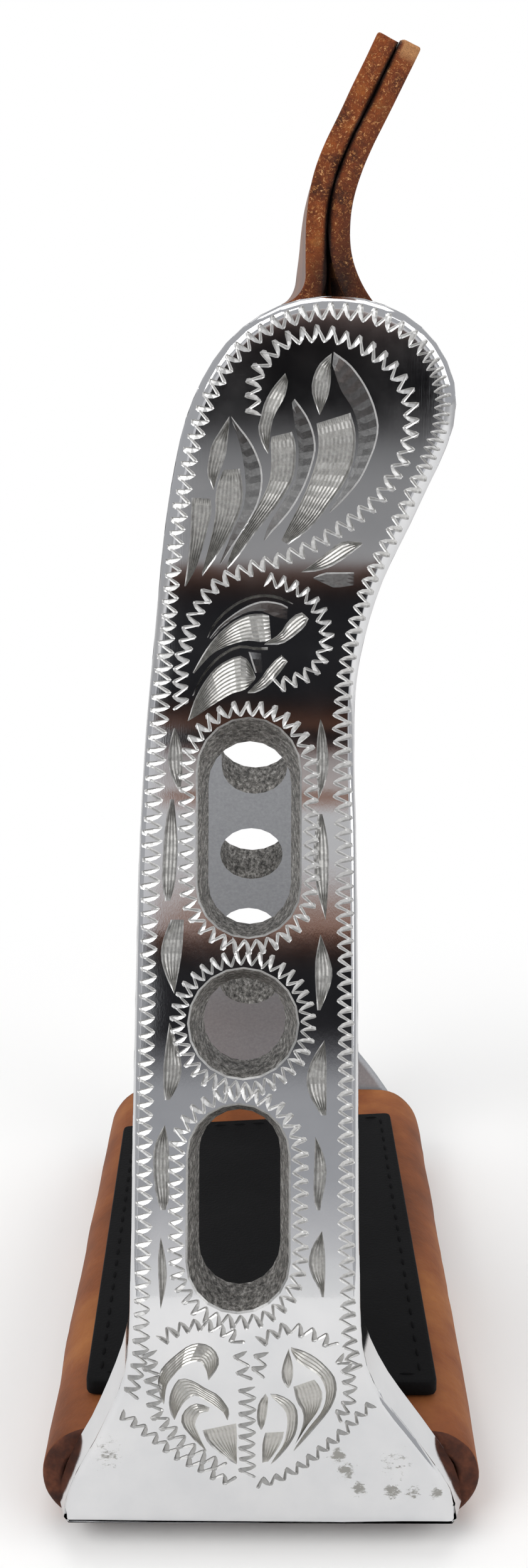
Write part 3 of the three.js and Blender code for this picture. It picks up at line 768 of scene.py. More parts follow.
# %% Leaves
MARGIN_PETALS = [
    [(-13.2, 124.6, 0, 0.2), (-13, 121.5, 1, 1), (-12.9, 118, 1, 1), (-12.3, 114.8, 0, 0)],
    [(-13.5, 113.8, 0.3, 0.3), (-13.6, 110, 0.9, 0.8), (-13.7, 106, 1.1, 1.1), (-13.9, 101, 1, 0.9),
     (-14.2, 96.8, 0, 0)],
    [(-12.6, 95.6, 1, 1), (-13.3, 91.5, 1.7, 1.5), (-13.4, 88, 1.2, 1.1), (-13, 84.5, 0, 0)],
    [(-13.7, 80.2, 0, 0), (-13.3, 77, 0.9, 0.8), (-13.2, 73, 1.4, 1.4), (-13.6, 70, 0.9, 0.8),
     (-14.2, 67.8, 0, 0)],
    [(-14.3, 65, 0, 0), (-14.7, 62, 1.1, 1), (-14.8, 58, 1.2, 1.2), (-14.5, 54, 0.9, 0.9),
     (-14.5, 51.5, 0, 0)],
    [(-14.8, 48.4, 0, 0), (-14.6, 45.5, 0.6, 0.5), (-14.5, 42, 0.6, 0.6), (-14.8, 37.8, 0, 0)],
    [(9, 126, 0, 0), (9.2, 123, 0.7, 0.7), (9.3, 118, 0.9, 0.9), (8.7, 113.8, 0, 0)],
    [(9, 111.6, 0.3, 0.3), (9.1, 107, 1.1, 1.1), (9.3, 101, 1, 0.9), (9.8, 95.6, 0, 0)],
    [(9, 93.4, 0, 0), (9.3, 90, 1, 1), (9.5, 87, 1.3, 1.3), (9, 83.5, 0.6, 0.6), (8.6, 81.2, 0, 0)],
    [(9.6, 77.6, 0, 0), (8.8, 74.5, 1.2, 1.1), (8.4, 71, 1.5, 1.5), (9, 68, 0.9, 0.9),
     (9.8, 65.4, 0, 0)],
    [(8.2, 63.3, 0, 0), (8.8, 60.5, 0.7, 0.7), (9, 57.5, 1, 0.9), (8.6, 54, 0.6, 0.6),
     (8.8, 51.5, 0, 0)],
    [(9.2, 49.4, 0, 0), (8.6, 46.8, 1, 1), (8.5, 43.8, 1.2, 1.2), (9.2, 41, 0.5, 0.4),
     (9.4, 38.8, 0, 0)],
]
HEAD_LEAVES = [
    ("burnished", [(10.5, 180), (12.5, 178.6), (13.8, 177.2), (15, 175.5), (15.9, 173.8), (16.6, 172),
                   (17.1, 169.8), (17, 168), (16.4, 165.8), (14.7, 162), (12.2, 158.9), (10.1, 156.9)],
     [(10.3, 178.2), (11.5, 174.8), (12.8, 172.8), (13.6, 171.3), (14.1, 169.5), (14.2, 166.8),
      (13.9, 164.9), (12.5, 161.3), (10.2, 157.4)]),
    ("pale", [(10.2, 179.8), (8.9, 178.8), (8, 177.6), (7.4, 175.8), (7.4, 174.2), (7.9, 172.6),
              (8.5, 171.1)],
     [(10.1, 178.4), (10.1, 177.3), (10.1, 176), (9.8, 174), (9.2, 172.5), (8.6, 171.2)]),
    ("pale", [(13, 171.4), (13.7, 169), (13.8, 166.5), (13.3, 163.7), (12, 160.9), (10.2, 158.4),
              (8.3, 155.8), (6.3, 153.9), (4, 152.3)],
     [(8.1, 169.9), (8.4, 167.3), (8.2, 165), (7.3, 162), (6.3, 159.5), (5.1, 157), (4, 154.9),
      (3, 152.9)]),
    ("burnished", [(4.9, 173.4), (6, 172), (7, 170.4), (7.7, 168.5), (8, 166.5), (7.7, 164.7),
                   (6.6, 161.3), (4.8, 157.9), (3, 155.6), (1.5, 154), (0.5, 152.7)],
     [(4.5, 172.9), (4.7, 171.2), (5, 169.3), (5.4, 167.4), (5.5, 165), (5.1, 162), (3.5, 159),
      (2, 156.7), (1, 154.9), (0.4, 153)]),
    ("pale", [(3.5, 177), (1.75, 175), (0.5, 172.8), (-0.1, 170.5), (-0.4, 169), (0.2, 166.9),
              (1, 165.5)],
     [(3.6, 176.8), (3.9, 175.8), (3.5, 173.8), (2.5, 172), (1.75, 170.4), (1.3, 168), (1.1, 165.7)]),
    ("pale", [(4.5, 168.7), (5, 167.2), (5.1, 165), (4.7, 161.9), (3, 158.9), (1, 156.3),
              (-1, 153.8), (-3, 151), (-5, 148.5)],
     [(1.6, 168), (1.4, 167), (1.5, 165), (1.3, 162), (0.2, 159.2), (-1.8, 155.8), (-3.8, 152.5),
      (-5.1, 149.3)]),
    ("burnished", [(-4.3, 170.9), (-3.2, 169.5), (-2, 168), (-1, 166.4), (-0.2, 164.5), (0.2, 162.8),
                   (0.1, 160.2), (-0.8, 157.4), (-2.6, 154.3), (-4.4, 151.7), (-6, 149.3)],
     [(-4.2, 170.2), (-3.6, 168.5), (-3, 166.5), (-2.6, 164.5), (-2.3, 162), (-2.3, 159.5),
      (-2.9, 157), (-4.2, 154.2), (-5.3, 151.5), (-6.1, 149.6)]),
    ("pale", [(-4.6, 170.9), (-6, 168.8), (-7.2, 166.8), (-7.6, 165), (-7.9, 162.8), (-7.4, 161.3),
              (-7, 160.3)],
     [(-4.6, 170), (-4.8, 168), (-5.1, 165.5), (-5.8, 163.5), (-6.4, 162), (-6.9, 160.5)]),
    ("pale", [(-3.1, 163.4), (-2.7, 161), (-2.7, 158.6), (-3.5, 156), (-5, 153), (-6.7, 150.3),
              (-8.7, 147.6)],
     [(-5.5, 163.2), (-6.4, 161), (-6.7, 159), (-6.7, 157), (-7.1, 154.5), (-7.8, 151.6),
      (-8.8, 148)]),
    ("pale", [(-10.2, 159.2), (-10.3, 157), (-10.5, 153), (-10.9, 149.6), (-11.4, 146.1)],
     [(-7.4, 159), (-7.3, 157), (-7.9, 154.5), (-8.9, 151), (-9.8, 148.5), (-11.2, 146.1)]),
    ("pale", [(6, 148.2), (8, 148.3), (10.3, 149), (12.3, 150.2), (14, 151.5), (15, 152.3)],
     [(6.1, 148.3), (8, 149.7), (10.3, 151.6), (12.2, 152.8), (14.9, 152.6)]),
    ("burnished", [(7.8, 147.4), (9.3, 148.1), (11, 148.2), (13.8, 148.2)],
     [(7.9, 147.2), (9.5, 146.5), (11, 145.9), (13.8, 146.3)]),
]
SCROLL_LEAVES = [
    ("pale", [(-10.3, 133), (-9, 135.4), (-7.6, 137.5), (-6, 139.3), (-4, 140.9), (-2, 141.8),
              (0, 142), (1.2, 141.7)],
     [(-10.1, 132.9), (-7.3, 135.9), (-4.5, 137.3), (-2, 137.9), (0.3, 137.7), (1.5, 138.2)]),
    ("burnished", [(-7.7, 138.3), (-6.2, 140.2), (-4, 142), (-2, 143.2), (0.3, 143.9), (2.8, 143.6),
                   (4, 143)],
     [(-7.5, 138), (-5.9, 139.8), (-3.9, 141.3), (-2, 142.2), (0.1, 142.4), (1.9, 141.6),
      (3.9, 141.1)]),
    ("pale", [(-8.1, 138.3), (-7.2, 140.3), (-5.7, 142.1), (-3.6, 143.7), (-1.5, 144.6), (0.5, 144.9),
              (2.6, 144.6), (4.8, 143.5)],
     [(-7.9, 138.5), (-6.9, 140.2), (-5.5, 141.8), (-3.4, 143.4), (-1.4, 144.2), (0.5, 144.5),
      (2.5, 144.2), (4.7, 143.4)]),
    ("pale", [(0.5, 137.3), (3, 137.4), (4.8, 138.5), (6.5, 140), (7.1, 141.2)],
     [(0.6, 137.5), (2.8, 139), (4, 140.8), (5.8, 142.2), (6.9, 141.5)]),
    ("pale", [(-11.1, 125.7), (-10, 129), (-8.3, 132), (-6.3, 134.2), (-3.3, 135.6), (-1.9, 134.8),
              (-0.8, 132.4)],
     [(-11, 125.7), (-9.5, 126.6), (-7, 128.3), (-4.5, 129.8), (-2.4, 130.5), (-0.9, 132)]),
    ("pale", [(-10.4, 129.5), (-8.9, 132.6), (-7.1, 134.9), (-5, 136.5), (-3, 137.2), (-0.8, 136.9),
              (1, 136.9)],
     [(-10.2, 129.6), (-8.6, 132.6), (-6.8, 134.7), (-4.9, 136.1), (-3, 136.8), (-0.8, 136.5),
      (1, 136.5)]),
    ("burnished", [(-1.9, 136.2), (-1.4, 134.6), (-0.9, 133)], [(0, 136), (0.1, 134.5), (0.2, 133.1)]),
    ("pale", [(-2, 129.9), (-0.8, 130), (1, 131), (2.8, 133), (4, 134.7)],
     [(-2, 130.1), (0, 132.2), (1.1, 133.8), (3, 135.7), (3.8, 135)]),
]
HEART_LEAVES = [
    ("pale", [(-7.7, 26.5), (-6.5, 28.3), (-6.1, 29.8), (-6.8, 31.5), (-8.4, 32.5), (-10.4, 32.3),
              (-12.6, 30.7), (-14.7, 28.5), (-15.3, 26.5), (-15.1, 24), (-14.5, 22.4)],
     [(-7.8, 26.7), (-8, 28), (-8.8, 29.5), (-9.8, 29.6), (-11.6, 28.8), (-13, 27.2), (-14, 25.5),
      (-14.4, 22.6)]),
    ("pale", [(-4.9, 19.7), (-4.6, 21.3), (-5.5, 23), (-6.5, 24.2), (-8.2, 25.2), (-10, 26.4),
              (-12, 26.8), (-13.2, 25), (-13.7, 23), (-13.5, 21), (-12.9, 19.7)],
     [(-5, 19.8), (-5.5, 21), (-6.6, 21.9), (-8.2, 23.1), (-9.8, 23.9), (-11.3, 22.9), (-12.3, 21.2),
      (-12.8, 19.9)]),
    ("pale", [(-7.6, 21.9), (-9.3, 22.6), (-10.8, 22), (-11.8, 20.5), (-11.8, 19), (-11, 17.7),
              (-9.5, 15.7), (-8.2, 14.3)],
     [(-7.8, 21.2), (-9, 20.9), (-9.6, 19.8), (-9.8, 18.8), (-9.3, 17.4), (-8.8, 16), (-8.1, 14.5)]),
    ("pale", [(-8.7, 18), (-8, 16), (-6.5, 14.3), (-5, 13), (-3.6, 12.1)],
     [(-3.6, 19.2), (-3.5, 17), (-3.5, 15), (-3.5, 13.4), (-3.5, 12.3)]),
    ("pale", [(4.6, 32), (6.5, 31.4), (8.5, 30.2), (10.2, 28.5), (11.2, 27), (11.5, 25), (11.1, 23),
              (10.3, 21.3), (9, 19.4), (7.2, 17), (5.1, 14.4)],
     [(4.6, 31.5), (5.6, 29.6), (7.4, 28.4), (9, 27.1), (9.8, 25), (9.8, 23), (9.1, 21), (7.7, 19),
      (6.4, 17), (5.1, 14.7)]),
    ("pale", [(4.3, 31.8), (3.5, 29.5), (3.2, 27.5), (3.6, 26), (4.2, 25.2)],
     [(4.4, 31), (4.9, 29), (4.9, 27), (4.5, 25.6)]),
    ("pale", [(5, 25.5), (5.5, 23), (6.4, 21.3), (6.5, 19.5), (6, 17.5), (5.3, 15.6)],
     [(8.1, 26.7), (9.2, 25), (9.3, 23), (8.5, 21), (7.2, 19), (6.1, 17), (5.4, 15.8)]),
    ("pale", [(0.8, 24.3), (-0.2, 22.7), (-0.5, 20.3), (-0.3, 18.9), (0.1, 18.1)],
     [(1.2, 23.6), (1.1, 21.5), (0.8, 19.5), (0.3, 18.2)]),
    ("pale", [(1.5, 24.3), (2.6, 24.2), (4.2, 23.4), (5.4, 22), (5.7, 20), (5.4, 17.5), (4.1, 15),
              (2.3, 12.7), (1.6, 12.1)],
     [(1.9, 23.5), (2.9, 22.5), (3.8, 21.3), (4.1, 19.8), (4, 18), (3.5, 15.6), (2.4, 13.7),
      (1.7, 12.4)]),
    ("pale", [(0.8, 17.6), (0.4, 16), (0.3, 14), (0.3, 12.4)],
     [(3.6, 17.8), (3.3, 16.2), (2.4, 14.4), (1.2, 12.6)]),
]

# %% Bands
HEAD_BAND = [
    (-1.1, 170.8), (-1.2, 174), (-0.3, 177.6), (2.2, 180.6), (5.6, 182.3), (9.4, 182.5),
    (13, 181.5), (16.4, 179.9), (19.2, 177.4), (21.1, 174.3), (21.9, 170.8), (21.5, 167),
    (19.9, 163), (17.5, 159.3), (14.2, 156.3), (10.6, 153.9), (6.9, 151.7), (3, 150.1),
    (-1, 148.9), (-4.8, 147.4), (-7.8, 145.2), (-9.6, 142.2), (-10.8, 139), (-11.9, 135.2),
    (-12.2, 131), (-12, 127.6),
]
SCROLL_BAND = [
    (0.6, 147.2), (3.6, 146.5), (6.3, 145.2), (8.4, 143), (9.6, 140.2), (9.8, 137.2), (8.7, 134.4),
    (6.4, 132.4), (3.6, 131.4), (2.2, 131),
]
HEART_BANDS = [
    ([(-21.2, 20.9), (-19, 19.2), (-16.5, 17), (-14, 14.8), (-11.5, 13), (-8.8, 11.4), (-6.5, 9.9),
      (-4, 9)], 1.9),
    ([(17, 22.7), (15.2, 21), (13.5, 19), (12, 17.3), (10.4, 15.7), (8.5, 14), (7, 12.6), (4.8, 11),
      (2.4, 9.6), (-0.5, 8.8)], 1.8),
    ([(-16.7, 31.4), (-16.3, 28), (-15.9, 25), (-15.8, 21.6), (-14.8, 19.4), (-13.3, 17.6),
      (-11.9, 15.9), (-10, 14.1), (-7.8, 12.7), (-5.8, 11.4)], 2.5),
    ([(11.6, 30.6), (12.9, 28.6), (13.3, 26.4), (13.5, 24), (12.9, 22), (11.5, 20)], 2.1),
    ([(-15, 32.8), (-13, 34.3), (-10.5, 35.2), (-8, 35.4), (-6, 34.6), (-4, 33.7), (-3.2, 32.4)], 2.1),
    ([(-0.3, 32.7), (2, 34), (4.3, 34.9), (6.8, 34.2), (9.2, 33.5), (11, 32)], 2.1),
    ([(-3, 31.4), (-2.8, 29), (-2.2, 26.6)], 2.2),
    ([(0.2, 31.4), (-0.1, 29), (-0.4, 27.2)], 2.2),
    ([(-2, 25.6), (-2, 22), (-2, 18), (-2, 14), (-2, 10)], 2.6),
]


# %% [markdown]
# Cutting the face
#
# All the lines of the plan go into one triangulation, which keeps every line as an edge.
# Each corner then sinks by the depth of its cut, and the sheet is bent over the leg. The
# polished ground gets its normals from the bell shape itself, with the slight roll that a
# polishing wheel leaves near an edge, so it reflects like one smooth surface.

# %% Fences
def ring_normals(ring):
    """Unit normals of a closed ring, to the left of its direction."""
    along = np.roll(ring, -1, axis=0) - np.roll(ring, 1, axis=0)
    along /= np.linalg.norm(along, axis=1)[:, None]
    return np.column_stack([-along[:, 1], along[:, 0]])


class Fence:
    """Closed rings that marks keep away from."""

    def __init__(self, rings):
        self.rings = rings
        self.starts = np.vstack(rings)
        self.spans = np.vstack([np.roll(ring, -1, axis=0) - ring for ring in rings])
        self.squares = np.maximum((self.spans ** 2).sum(axis=1), 1e-12)

    def nearest(self, points):
        """Distance and direction from the nearest ring to each point."""
        offset = points[:, None, :] - self.starts[None]
        t = np.clip((offset * self.spans).sum(axis=2) / self.squares, 0, 1)
        away = offset - t[:, :, None] * self.spans
        length = np.sqrt((away ** 2).sum(axis=2))
        best = length.argmin(axis=1)
        rows = np.arange(len(points))
        distance = length[rows, best]
        return distance, away[rows, best] / np.maximum(distance, 1e-9)[:, None]

    def covers(self, points):
        """Whether each point lies inside one of the rings."""
        covered = np.zeros(len(points), bool)
        for ring in self.rings:
            near = ((points >= ring.min(axis=0)) & (points <= ring.max(axis=0))).all(axis=1)
            if near.any():
                covered[near] |= inside_ring(points[near], ring)
        return covered


def inside_ring(points, ring):
    """Whether each point is inside a closed ring."""
    ahead = np.roll(ring, -1, axis=0)
    px, py = points[:, :1], points[:, 1:]
    crosses = (ring[:, 1] > py) != (ahead[:, 1] > py)
    rise = ahead[:, 1] - ring[:, 1]
    rise = np.where(np.abs(rise) < 1e-12, 1e-12, rise)
    where = (ahead[:, 0] - ring[:, 0]) * (py - ring[:, 1]) / rise + ring[:, 0]
    return (crosses & (px < where)).sum(axis=1) % 2 == 1


# %% Draw the plan for one leg
OPENING_BEVEL = 0.3
# Millimetres that marks stay off the rim and the openings, and the share of a zigzag stroke
# that makes it lie mostly in a leaf.
RIM_ROOM = 0.3
OPENING_ROOM = 0.12
MOSTLY = 0.6
# The even grid's step, and how far it stays off the rim, the openings and the leaves.
GRID_STEP = 1.5
GRID_RIM_ROOM = 2.8
GRID_OPENING_ROOM = 0.9
GRID_LEAF_ROOM = 0.2


def border_pitch(points):
    """The border's pitch in mm: closer teeth down the right of the head."""
    tight = smooth_step(points[:, 0], 22, 25) * smooth_step(points[:, 1], 158, 166)
    return 2.05 - 0.8 * tight


def border_height(point):
    """The border's height in mm: a little taller where the leg straightens."""
    return 2.4 + 0.5 * float(smooth_step(point[1], 88, 100) * (1 - smooth_step(point[1], 124, 140)))


def draw_plan(rim, holes):
    """The flat drawing for one leg: its borders, its leaves, then its bands."""
    drawing = Drawing()
    drawing.add_outline(drawing.add_points(rim, [0] * len(rim)), "border")
    for hole in holes:
        drawing.add_outline(drawing.add_points(hole, [0] * len(hole)), "hole")
    rim_fence = Fence([rim])
    hole_fence = Fence(holes)

    def clear_of_edges(points):
        off_rim = rim_fence.nearest(points)[0].min() >= RIM_ROOM
        off_hole = hole_fence.nearest(points)[0].min() >= OPENING_ROOM
        on_face = rim_fence.covers(points).all() and not hole_fence.covers(points).any()
        return off_rim and off_hole and on_face

    for kind, steep, soft in HEAD_LEAVES + SCROLL_LEAVES + HEART_LEAVES + list(map(petal, MARGIN_PETALS)):
        leaf(drawing, kind, steep, soft, clear_of_edges)
    leaves = [np.array([drawing.points[n] for n in outline])
              for outline, kind in zip(drawing.outlines, drawing.kinds) if kind in ("pale", "burnished")]
    leaf_fence = Fence(leaves)

    def clear_of_all(points):
        return clear_of_edges(points) and leaf_fence.covers(points).mean() < MOSTLY

    inset = 1.9 + 0.2 * smooth_step(rim[:, 1], 150, 170)
    border_line = rim + ring_normals(rim) * inset[:, None]
    first = int(np.argmin(border_line[:, 1] + 3 * np.abs(border_line[:, 0])))
    border_line = np.roll(border_line, -first, axis=0)
    keep = border_line[:, 1] > np.where(border_line[:, 0] < 0, 21.5, 24)
    zigzag_band(drawing, border_line[keep][::2], border_height, border_pitch, clear_of_all)
    zigzag_band(drawing, HEAD_BAND, 2.4, 2.05, clear_of_all, flip=-1)
    zigzag_band(drawing, SCROLL_BAND, 2.3, 1.9, clear_of_all, flip=-1)
    for hole in holes:
        ring = hole - ring_normals(hole) * 1.75
        pitch = 1.95 if np.ptp(hole[:, 1]) > 18 else 1.7
        zigzag_band(drawing, ring[::3], 2.4, pitch, clear_of_all, closed=True)
    for curve, height in HEART_BANDS:
        zigzag_band(drawing, curve, height, 2.05, clear_of_all)
    print("Plan:", len(leaves), "leaves,", len(drawing.strokes), "strokes")
    return drawing, leaf_fence


def add_ground(drawing, rim, holes, leaf_fence):
    """Rings down the rounded rim, the bevels of the openings and an even grid between."""
    normals = ring_normals(rim)
    radius = edge_rounding(rim[:, 1])
    for angle in (66, 42, 20, 0):
        inset = radius * (1 - math.sin(math.radians(angle)))
        numbers = drawing.add_points(rim + normals * inset[:, None], [0] * len(rim))
        drawing.add_line(numbers + numbers[:1])
    for hole in holes:
        edge = hole - ring_normals(hole) * OPENING_BEVEL
        numbers = drawing.add_points(edge, [0] * len(edge))
        drawing.add_line(numbers + numbers[:1])
    across, run = np.meshgrid(np.arange(-32, 32, GRID_STEP), np.arange(0, 190, GRID_STEP))
    grid = np.column_stack([across.ravel(), run.ravel()])
    rim_fence = Fence([rim])
    hole_fence = Fence(holes)
    grid = grid[rim_fence.covers(grid)]
    grid = grid[rim_fence.nearest(grid)[0] > GRID_RIM_ROOM]
    grid = grid[~hole_fence.covers(grid) & ~leaf_fence.covers(grid)]
    grid = grid[hole_fence.nearest(grid)[0] > GRID_OPENING_ROOM]
    grid = grid[leaf_fence.nearest(grid)[0] > GRID_LEAF_ROOM]
    drawing.add_points(grid, [0] * len(grid))


# %% Sink the cuts
# Where each kind of surface finds its material in LEG_MATERIALS.
LEG_MATERIALS = (polished, leaf_cut, zigzag_cut, sand_cast, burnished_cut, satin)
SLOT_NUMBERS = {"wall": 2, "zigzag": 2, "pale": 1, "burnished": 4, "ground": 0}
CAST_SLOT = 3
SATIN_SLOT = 5


def sink_cuts(drawing, points, given, own):
    """The depth of every corner: what the plan gives, or the deepest stroke over it."""
    sunk = given.copy()
    drawn = np.flatnonzero(own >= 0)
    tree = KDTree(len(drawn))
    for number, point in enumerate(points[drawn]):
        tree.insert((point[0], point[1], 0), number)
    tree.balance()
    for crossing in np.flatnonzero(own < 0):
        nearest = tree.find((points[crossing, 0], points[crossing, 1], 0))[1]
        sunk[crossing] = given[drawn[nearest]]
    order = np.argsort(points[:, 1])
    runs = points[order, 1]
    for start, end, width, depth, skew in drawing.strokes:
        low = min(start[1], end[1]) - width
        high = max(start[1], end[1]) + width
        near = order[np.searchsorted(runs, low):np.searchsorted(runs, high)]
        sunk[near] = np.maximum(sunk[near], stroke_depth(points[near], start, end, width, depth, skew))
    return sunk


def triangulate(drawing):
    """The plan as triangles: points, given depths, border numbers, faces and their kinds."""
    result = delaunay_2d_cdt([Vector(p) for p in drawing.points], drawing.lines,
                             [[int(n) for n in ring] for ring in drawing.outlines], 0, 1e-4, True)
    verts, _, faces, vert_origins, _, face_origins = result
    points = np.array([(v.x, v.y) for v in verts])
    depths = np.array(drawing.depths)
    given = np.array([depths[origins].max() if origins else 0.0 for origins in vert_origins])
    first = [min(origins) if origins else -1 for origins in vert_origins]
    kept, kinds = [], []
    for face, origins in zip(faces, face_origins):
        names = {drawing.kinds[o] for o in origins}
        if "border" in names and "hole" not in names:
            kept.append(list(face))
            kinds.append(next((kind for kind in SLOT_NUMBERS if kind in names), "ground"))
    return points, given, np.array(first), np.array(kept), np.array(kinds)


# %% Build an engraved leg
def smooth_corner_normals(points, faces, limit=0.8):
    """Corner normals that are smooth over gentle edges and sharp over hard ones."""
    normals = []
    for face in faces:
        corners = points[face]
        cross = sum(np.cross(corners[i] - corners[0], corners[i + 1] - corners[0])
                    for i in range(1, len(face) - 1))
        normals.append(cross)
    normals = np.array(normals)
    units = normals / np.maximum(np.linalg.norm(normals, axis=1), 1e-12)[:, None]
    around = {}
    for number, face in enumerate(faces):
        for vertex in face:
            around.setdefault(vertex, []).append(number)
    corner_normals = []
    for number, face in enumerate(faces):
        for vertex in face:
            near = [n for n in around[vertex] if units[n] @ units[number] > limit]
            corner_normals.append(normals[near].sum(axis=0))
    return corner_normals


def anticlockwise_loops(flat, loops):
    """The loops turned anticlockwise on the flat face, the tallest first: that is the rim."""
    turned = []
    for loop in loops:
        ring = flat[loop]
        ahead = np.roll(ring, -1, axis=0)
        clockwise = (ring[:, 0] * ahead[:, 1] - ahead[:, 0] * ring[:, 1]).sum() < 0
        turned.append(loop[::-1] if clockwise else loop)
    turned.sort(key=lambda loop: -np.ptp(flat[loop, 1]))
    return turned


WHEEL_ROLL = 0.04
WHEEL_REACH = 4


def polished_normals(points, inset, away, roll):
    """Which way is outward at each point, and the ground's normals, tilted towards the rim."""
    _, _, lean = face_line(points[:, 1])
    zero = np.zeros(len(points))
    outward = np.column_stack([zero, -np.cos(lean), np.sin(lean)])
    upward = np.column_stack([zero, np.sin(lean), np.cos(lean)])
    crown = WHEEL_ROLL * np.clip(1 - inset / WHEEL_REACH, 0, 1) ** 2
    tilt = np.clip(roll + crown, 0, 1)
    level = np.sqrt(1 - tilt ** 2)
    towards_rim = -away
    rimward = towards_rim[:, :1] * [1, 0, 0] + towards_rim[:, 1:] * upward
    return outward, outward * level[:, None] + tilt[:, None] * rimward


# In millimetres, how a face behind the engraved one is known: a wall lies near an opening and
# runs deep, the bolt's bore is in the head, and the inside is well below the face.
WALL_REACH = 6.5
WALL_DEPTH = 2
BORE_REACH = 9
HEAD_RUN = 160
INSIDE_DEPTH = 5


def shell_slots(shell, shell_faces, holes):
    """Slots of the leg behind its face: cast walls in the openings, satin inside, else polish."""
    flat, depth = flatten(shell)
    to_opening = Fence(holes).nearest(flat)[0]
    slots = []
    for face in shell_faces:
        is_wall = (to_opening[face] < WALL_REACH).all() and np.ptp(depth[face]) > WALL_DEPTH
        in_head = (flat[face, 1] > HEAD_RUN).all()
        in_bore = in_head and (abs(flat[face, 0] - BOLT_X) < BORE_REACH).all()
        inside = (depth[face] > INSIDE_DEPTH).all() and not is_wall
        slots.append(CAST_SLOT if is_wall and not in_bore else SATIN_SLOT if inside else 0)
    return slots


def leg_object(name, side, points, faces, normals, slots):
    """The finished leg. The far one is mirrored, so its faces turn round."""
    mirror = np.array([1, -side, 1])
    if side > 0:
        corner_order = []
        corner = 0
        for face in faces:
            corner_order.extend(range(corner + len(face) - 1, corner - 1, -1))
            corner += len(face)
        faces = [face[::-1] for face in faces]
        normals = [normals[i] for i in corner_order]
    used = sorted({n for face in faces for n in face})
    renumber = {n: i for i, n in enumerate(used)}
    mesh = bpy.data.meshes.new(name + "_engraved")
    mesh.from_pydata((points[used] * mirror * MM).tolist(), [],
                     [[renumber[n] for n in face] for face in faces])
    mesh.polygons.foreach_set("material_index", slots)
    mesh.polygons.foreach_set("use_smooth", [True] * len(slots))
    normals = np.array(normals) * mirror
    normals /= np.maximum(np.linalg.norm(normals, axis=1), 1e-12)[:, None]
    mesh.normals_split_custom_set(normals.tolist())
    for material in LEG_MATERIALS:
        mesh.materials.append(material)
    leg = bpy.data.objects.new(name + "_engraved", mesh)
    bpy.context.scene.collection.objects.link(leg)
    return leg


def engraved_leg(name, side):
    """Makes the engraved leg that stands for a plain CAD leg."""
    shell, shell_faces, loops = open_leg(name, side)
    flat, depth = flatten(shell)
    loops = anticlockwise_loops(flat, loops)
    rim = flat[loops[0]]
    holes = [flat[loop] for loop in loops[1:]]
    for loop in loops[1:]:
        shell[loop] = bend(flat[loop], depth[loop] + OPENING_BEVEL)
    drawing, leaf_fence = draw_plan(rim, holes)
    add_ground(drawing, rim, holes, leaf_fence)
    points, given, first, faces, kinds = triangulate(drawing)
    cut = sink_cuts(drawing, points, given, first)

    inset, away = Fence([rim]).nearest(points)
    to_hole = Fence(holes).nearest(points)[0]
    radius = edge_rounding(points[:, 1])
    roll = np.clip(1 - inset / radius, 0, 1)
    bevel = np.clip(OPENING_BEVEL - to_hole, 0, None)
    bent = bend(points, cut + radius * (1 - np.sqrt(1 - roll ** 2)) + bevel)

    shell_numbers = [n for loop in loops for n in loop]
    numbers = np.arange(len(points)) + len(shell)
    on_border = (first >= 0) & (first < len(shell_numbers))
    numbers[on_border] = np.array(shell_numbers)[first[on_border]]
    all_points = np.vstack([shell, bent])
    new_faces = numbers[faces]

    outward, ground_normals = polished_normals(points, inset, away, roll)
    corners = all_points[new_faces]
    flat_normals = np.cross(corners[:, 1] - corners[:, 0], corners[:, 2] - corners[:, 0])
    faced_in = (flat_normals * outward[faces[:, 0]]).sum(axis=1) < 0
    new_faces[faced_in] = new_faces[faced_in][:, ::-1]
    faces[faced_in] = faces[faced_in][:, ::-1]
    flat_normals[faced_in] *= -1
    bevel_face = (to_hole[faces] < OPENING_BEVEL + 0.01).all(axis=1)
    smooth = (kinds == "ground") & ~bevel_face
    corner_normals = np.where(smooth[:, None, None], ground_normals[faces], flat_normals[:, None, :])

    all_faces = [list(f) for f in new_faces] + shell_faces
    all_normals = list(corner_normals.reshape(-1, 3)) + smooth_corner_normals(shell, shell_faces)
    slots = [SLOT_NUMBERS["wall" if bevelled else kind] for kind, bevelled in zip(kinds, bevel_face)]
    slots += shell_slots(shell, shell_faces, holes)
    leg = leg_object(name, side, all_points, all_faces, all_normals, slots)
    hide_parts(name)
    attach(leg, "stirrup_frame")
    print(name, "has", len(all_faces), "faces after", round(time.time() - started, 1), "s")


engraved_leg("near_leg", -1)
engraved_leg("far_leg", 1)
